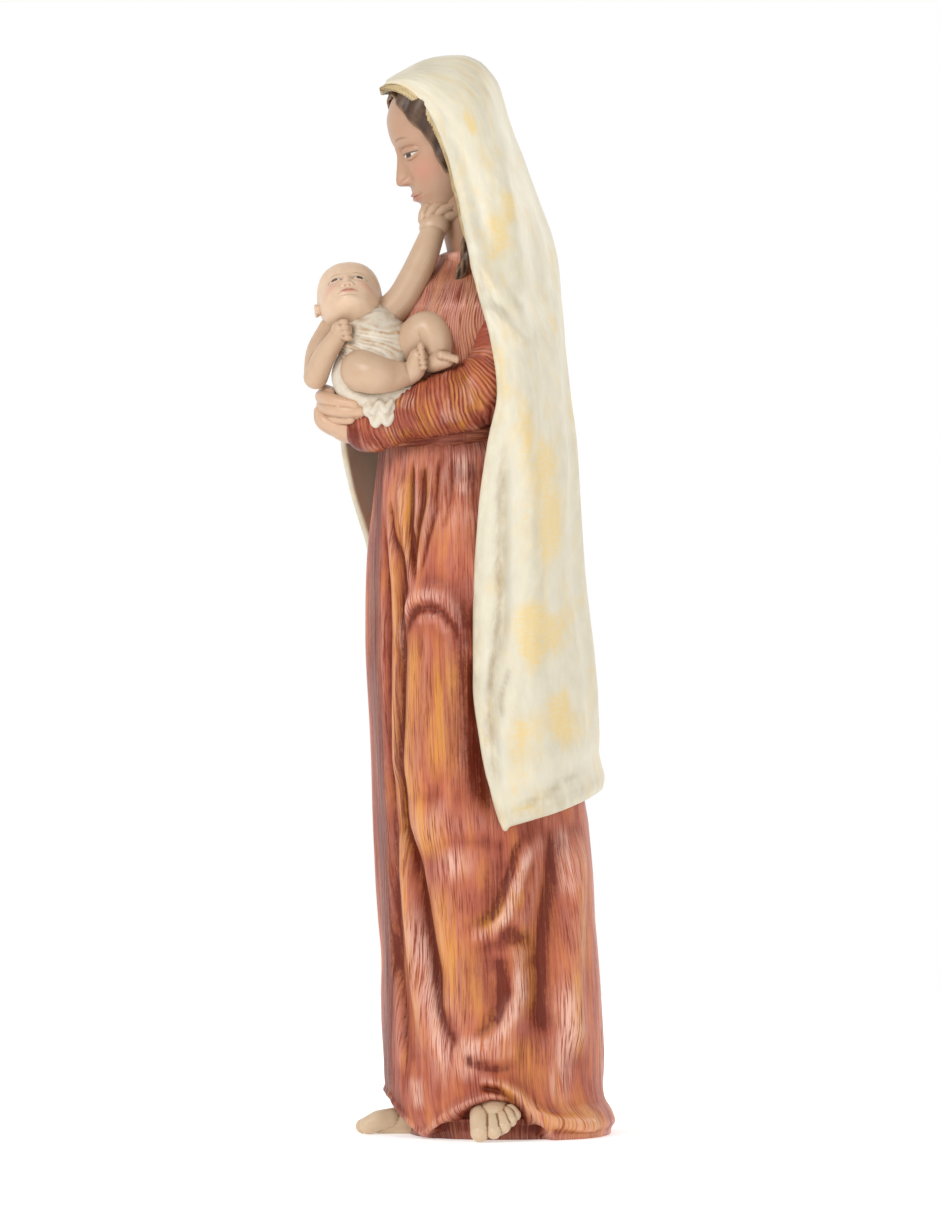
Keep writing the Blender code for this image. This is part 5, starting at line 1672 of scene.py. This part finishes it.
def build_stage():
    """Pale floor, soft lights and the camera on the figure's left side."""
    mesh = bpy.data.meshes.new("floor")
    mesh.from_pydata([(-1.4, -2.5, 0), (5, -2.5, 0), (5, 2.5, 0), (-1.4, 2.5, 0)], [], [(0, 1, 2, 3)])
    floor = add_object("floor", mesh)
    p = Paint("floor_paint", 0.9, 0.1)
    white = (1.0, 1.0, 1.0)
    p.feed(p.shader, {"Base Color": (0.85, 0.85, 0.85), "Emission Color": white, "Emission Strength": 0.38})
    mesh.materials.append(p.material)
    world = bpy.data.worlds.new("studio")
    bpy.context.scene.world = world
    world.use_nodes = True
    nodes = world.node_tree.nodes
    links = world.node_tree.links
    toward = nodes.new("ShaderNodeTexCoord")
    split = nodes.new("ShaderNodeSeparateXYZ")
    links.new(toward.outputs["Generated"], split.inputs["Vector"])
    glow = nodes.new("ShaderNodeMapRange")
    for key, value in (("From Min", -0.4), ("From Max", 0.3), ("To Min", 1.0), ("To Max", 0.42)):
        glow.inputs[key].default_value = value
    links.new(split.outputs["X"], glow.inputs["Value"])
    background = nodes["Background"]
    background.inputs["Color"].default_value = (*white, 1.0)
    links.new(glow.outputs["Result"], background.inputs["Strength"])
    sizes = bpy.context.scene.statue_sizes
    for name, place, power, size in (
        ("key", (2.0, -1.5, 1.7), sizes.key_power, 1.1),
        ("fill", (2.2, 1.5, 0.8), sizes.fill_power, 1.2),
        ("back", (-1.0, 1.6, 1.4), sizes.back_power, 0.8),
    ):
        data = bpy.data.lights.new(name, "AREA")
        data.energy = power
        data.size = size
        lamp = add_object(name, data)
        lamp.location = place
        aim = np.array((0.0, 0.0, 0.3)) - np.array(place)
        tip = math.atan2(math.hypot(aim[0], aim[1]), -aim[2])
        lamp.rotation_euler = (tip, 0.0, math.atan2(-aim[0], aim[1]))
    view = bpy.data.cameras.new("camera")
    view.sensor_fit = "VERTICAL"
    view.sensor_height = 24.0
    view.lens = 24.0 * sizes.camera_distance / VIEW_TALL
    view.clip_end = 50.0
    camera = add_object("camera", view)
    camera.location = (sizes.camera_distance, VIEW_MIDDLE, CAMERA_UP)
    camera.rotation_euler = (math.pi / 2.0, 0.0, math.pi / 2.0)
    bpy.context.scene.camera = camera
    bpy.context.scene.view_settings.view_transform = "Standard"


# Add-on
class StatueSizes(bpy.types.PropertyGroup):
    """Sizes of the carving and strength of the light."""
    fold_depth: bpy.props.FloatProperty(
        name="Fold depth", description="Share of their full depth at which the skirt's folds are carved",
        default=1.0, min=0.0, max=1.3, subtype="FACTOR")
    ring_gap: bpy.props.FloatProperty(
        name="Sleeve ring spacing", description="Distance from one ring of a sleeve to the next",
        default=SLEEVE_RINGS * SHARE, min=0.001, max=0.02, unit="LENGTH")
    camera_distance: bpy.props.FloatProperty(
        name="Camera distance", description="From the figure's middle to the camera",
        default=CAMERA_AT, min=1.0, max=20.0, unit="LENGTH")
    key_power: bpy.props.FloatProperty(
        name="Key light", description="Power of the main lamp", default=40.0, min=0.0, max=500.0,
                                       unit="POWER")
    fill_power: bpy.props.FloatProperty(
        name="Fill light", description="Power of the lamp that softens the shadows",
        default=13.0, min=0.0, max=500.0, unit="POWER")
    back_power: bpy.props.FloatProperty(
        name="Back light", description="Power of the lamp behind the figure",
        default=10.0, min=0.0, max=500.0, unit="POWER")


def paint_property(name, description, default):
    """A colour property with the given default in linear values."""
    return bpy.props.FloatVectorProperty(
        name=name, description=description, default=default, size=3, min=0.0, max=1.0, subtype="COLOR")


class StatueColours(bpy.types.PropertyGroup):
    """Colours of the paints."""
    dress: paint_property("Dress", "Coral base of the dress", linear(186, 99, 76))
    dress_gold: paint_property("Dress gold", "Golden brushing on the dress", linear(212, 143, 58))
    # Colour of the pale brushing and the painted highlights on the dress's ridges.
    dress_pale_and_highlight: paint_property("Dress lights", "Pale brushing on the dress's ridges", linear(236, 192, 174))
    # Colour of the dark wash and the painted shade in the dress's folds.
    dress_wash_and_shade: paint_property("Dress wash", "Dark wash in the dress's folds", linear(98, 32, 16))
    mantle: paint_property("Mantle", "Cream base of the mantle", linear(218, 210, 188))
    mantle_gold: paint_property("Mantle gold", "Golden patches on the mantle and its lining",
                                linear(224, 196, 132))
    hair: paint_property("Hair", "Base of the hair", linear(76, 52, 38))
    cloth: paint_property("Wrap", "Base of the child's wrap", linear(216, 205, 186))


class BuildStep:
    """What every step shares: it calls its builders in order."""
    builders = ()

    def execute(self, context):
        for build in self.builders:
            build()
        return {"FINISHED"}


class STATUE_OT_dress(BuildStep, bpy.types.Operator):
    """Build the skirt, bodice, collar and belt of the dress"""
    bl_idname = "statue.dress"
    bl_label = "Dress"
    builders = (build_skirt, build_bodice, build_collar, build_belt,)


class STATUE_OT_sleeves(BuildStep, bpy.types.Operator):
    """Build the two ringed sleeves"""
    bl_idname = "statue.sleeves"
    bl_label = "Sleeves"
    builders = (build_sleeves,)


class STATUE_OT_mantle(BuildStep, bpy.types.Operator):
    """Build the veil with its mantle and the lining that shows inside the rim"""
    bl_idname = "statue.mantle"
    bl_label = "Veil and mantle"
    builders = (build_mantle, build_lining,)


class STATUE_OT_mother_head(BuildStep, bpy.types.Operator):
    """Build the mother's head, neck and hair"""
    bl_idname = "statue.mother_head"
    bl_label = "Mother's head"
    builders = (build_mother_head, build_hair,)


class STATUE_OT_hands(BuildStep, bpy.types.Operator):
    """Build the mother's two hands"""
    bl_idname = "statue.hands"
    bl_label = "Hands"
    builders = (build_hands,)


class STATUE_OT_feet(BuildStep, bpy.types.Operator):
    """Build the mother's two bare feet"""
    bl_idname = "statue.feet"
    bl_label = "Feet"
    builders = (build_feet,)


class STATUE_OT_child(BuildStep, bpy.types.Operator):
    """Build the child's head, ears, body and limbs"""
    bl_idname = "statue.child"
    bl_label = "Child"
    builders = (build_child,)


class STATUE_OT_wrap(BuildStep, bpy.types.Operator):
    """Build the child's wrap and its frilled loose end"""
    bl_idname = "statue.wrap"
    bl_label = "Child's wrap"
    builders = (build_wrap,)


class STATUE_OT_stage(BuildStep, bpy.types.Operator):
    """Build the floor, the soft lights and the camera"""
    bl_idname = "statue.stage"
    bl_label = "Stage"
    builders = (build_stage,)


OPERATORS = (
    STATUE_OT_dress, STATUE_OT_sleeves, STATUE_OT_mantle, STATUE_OT_mother_head, STATUE_OT_hands,
    STATUE_OT_feet, STATUE_OT_child, STATUE_OT_wrap, STATUE_OT_stage,
)


class STATUE_PT_panel(bpy.types.Panel):
    """Sizes, colours and build steps of the statue"""
    bl_idname = "STATUE_PT_panel"
    bl_label = "Painted statue"
    bl_space_type = "VIEW_3D"
    bl_region_type = "UI"
    bl_category = "Statue"

    def draw(self, context):
        for group in (context.scene.statue_sizes, context.scene.statue_colours):
            for name in group.__annotations__:
                self.layout.prop(group, name)
        for step in OPERATORS:
            self.layout.operator(step.bl_idname)


CLASSES = (StatueSizes, StatueColours) + OPERATORS + (STATUE_PT_panel,)


def register():
    for kind in CLASSES:
        bpy.utils.register_class(kind)
    bpy.types.Scene.statue_sizes = bpy.props.PointerProperty(type=StatueSizes)
    bpy.types.Scene.statue_colours = bpy.props.PointerProperty(type=StatueColours)


def unregister():
    del bpy.types.Scene.statue_colours
    del bpy.types.Scene.statue_sizes
    for kind in reversed(CLASSES):
        bpy.utils.unregister_class(kind)


def main():
    """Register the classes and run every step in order."""
    register()
    for step in OPERATORS:
        name = step.bl_idname.split(".")[1]
        if "FINISHED" not in getattr(bpy.ops.statue, name)():
            raise RuntimeError(step.bl_label + " was not finished")


if __name__ == "__main__":
    main()
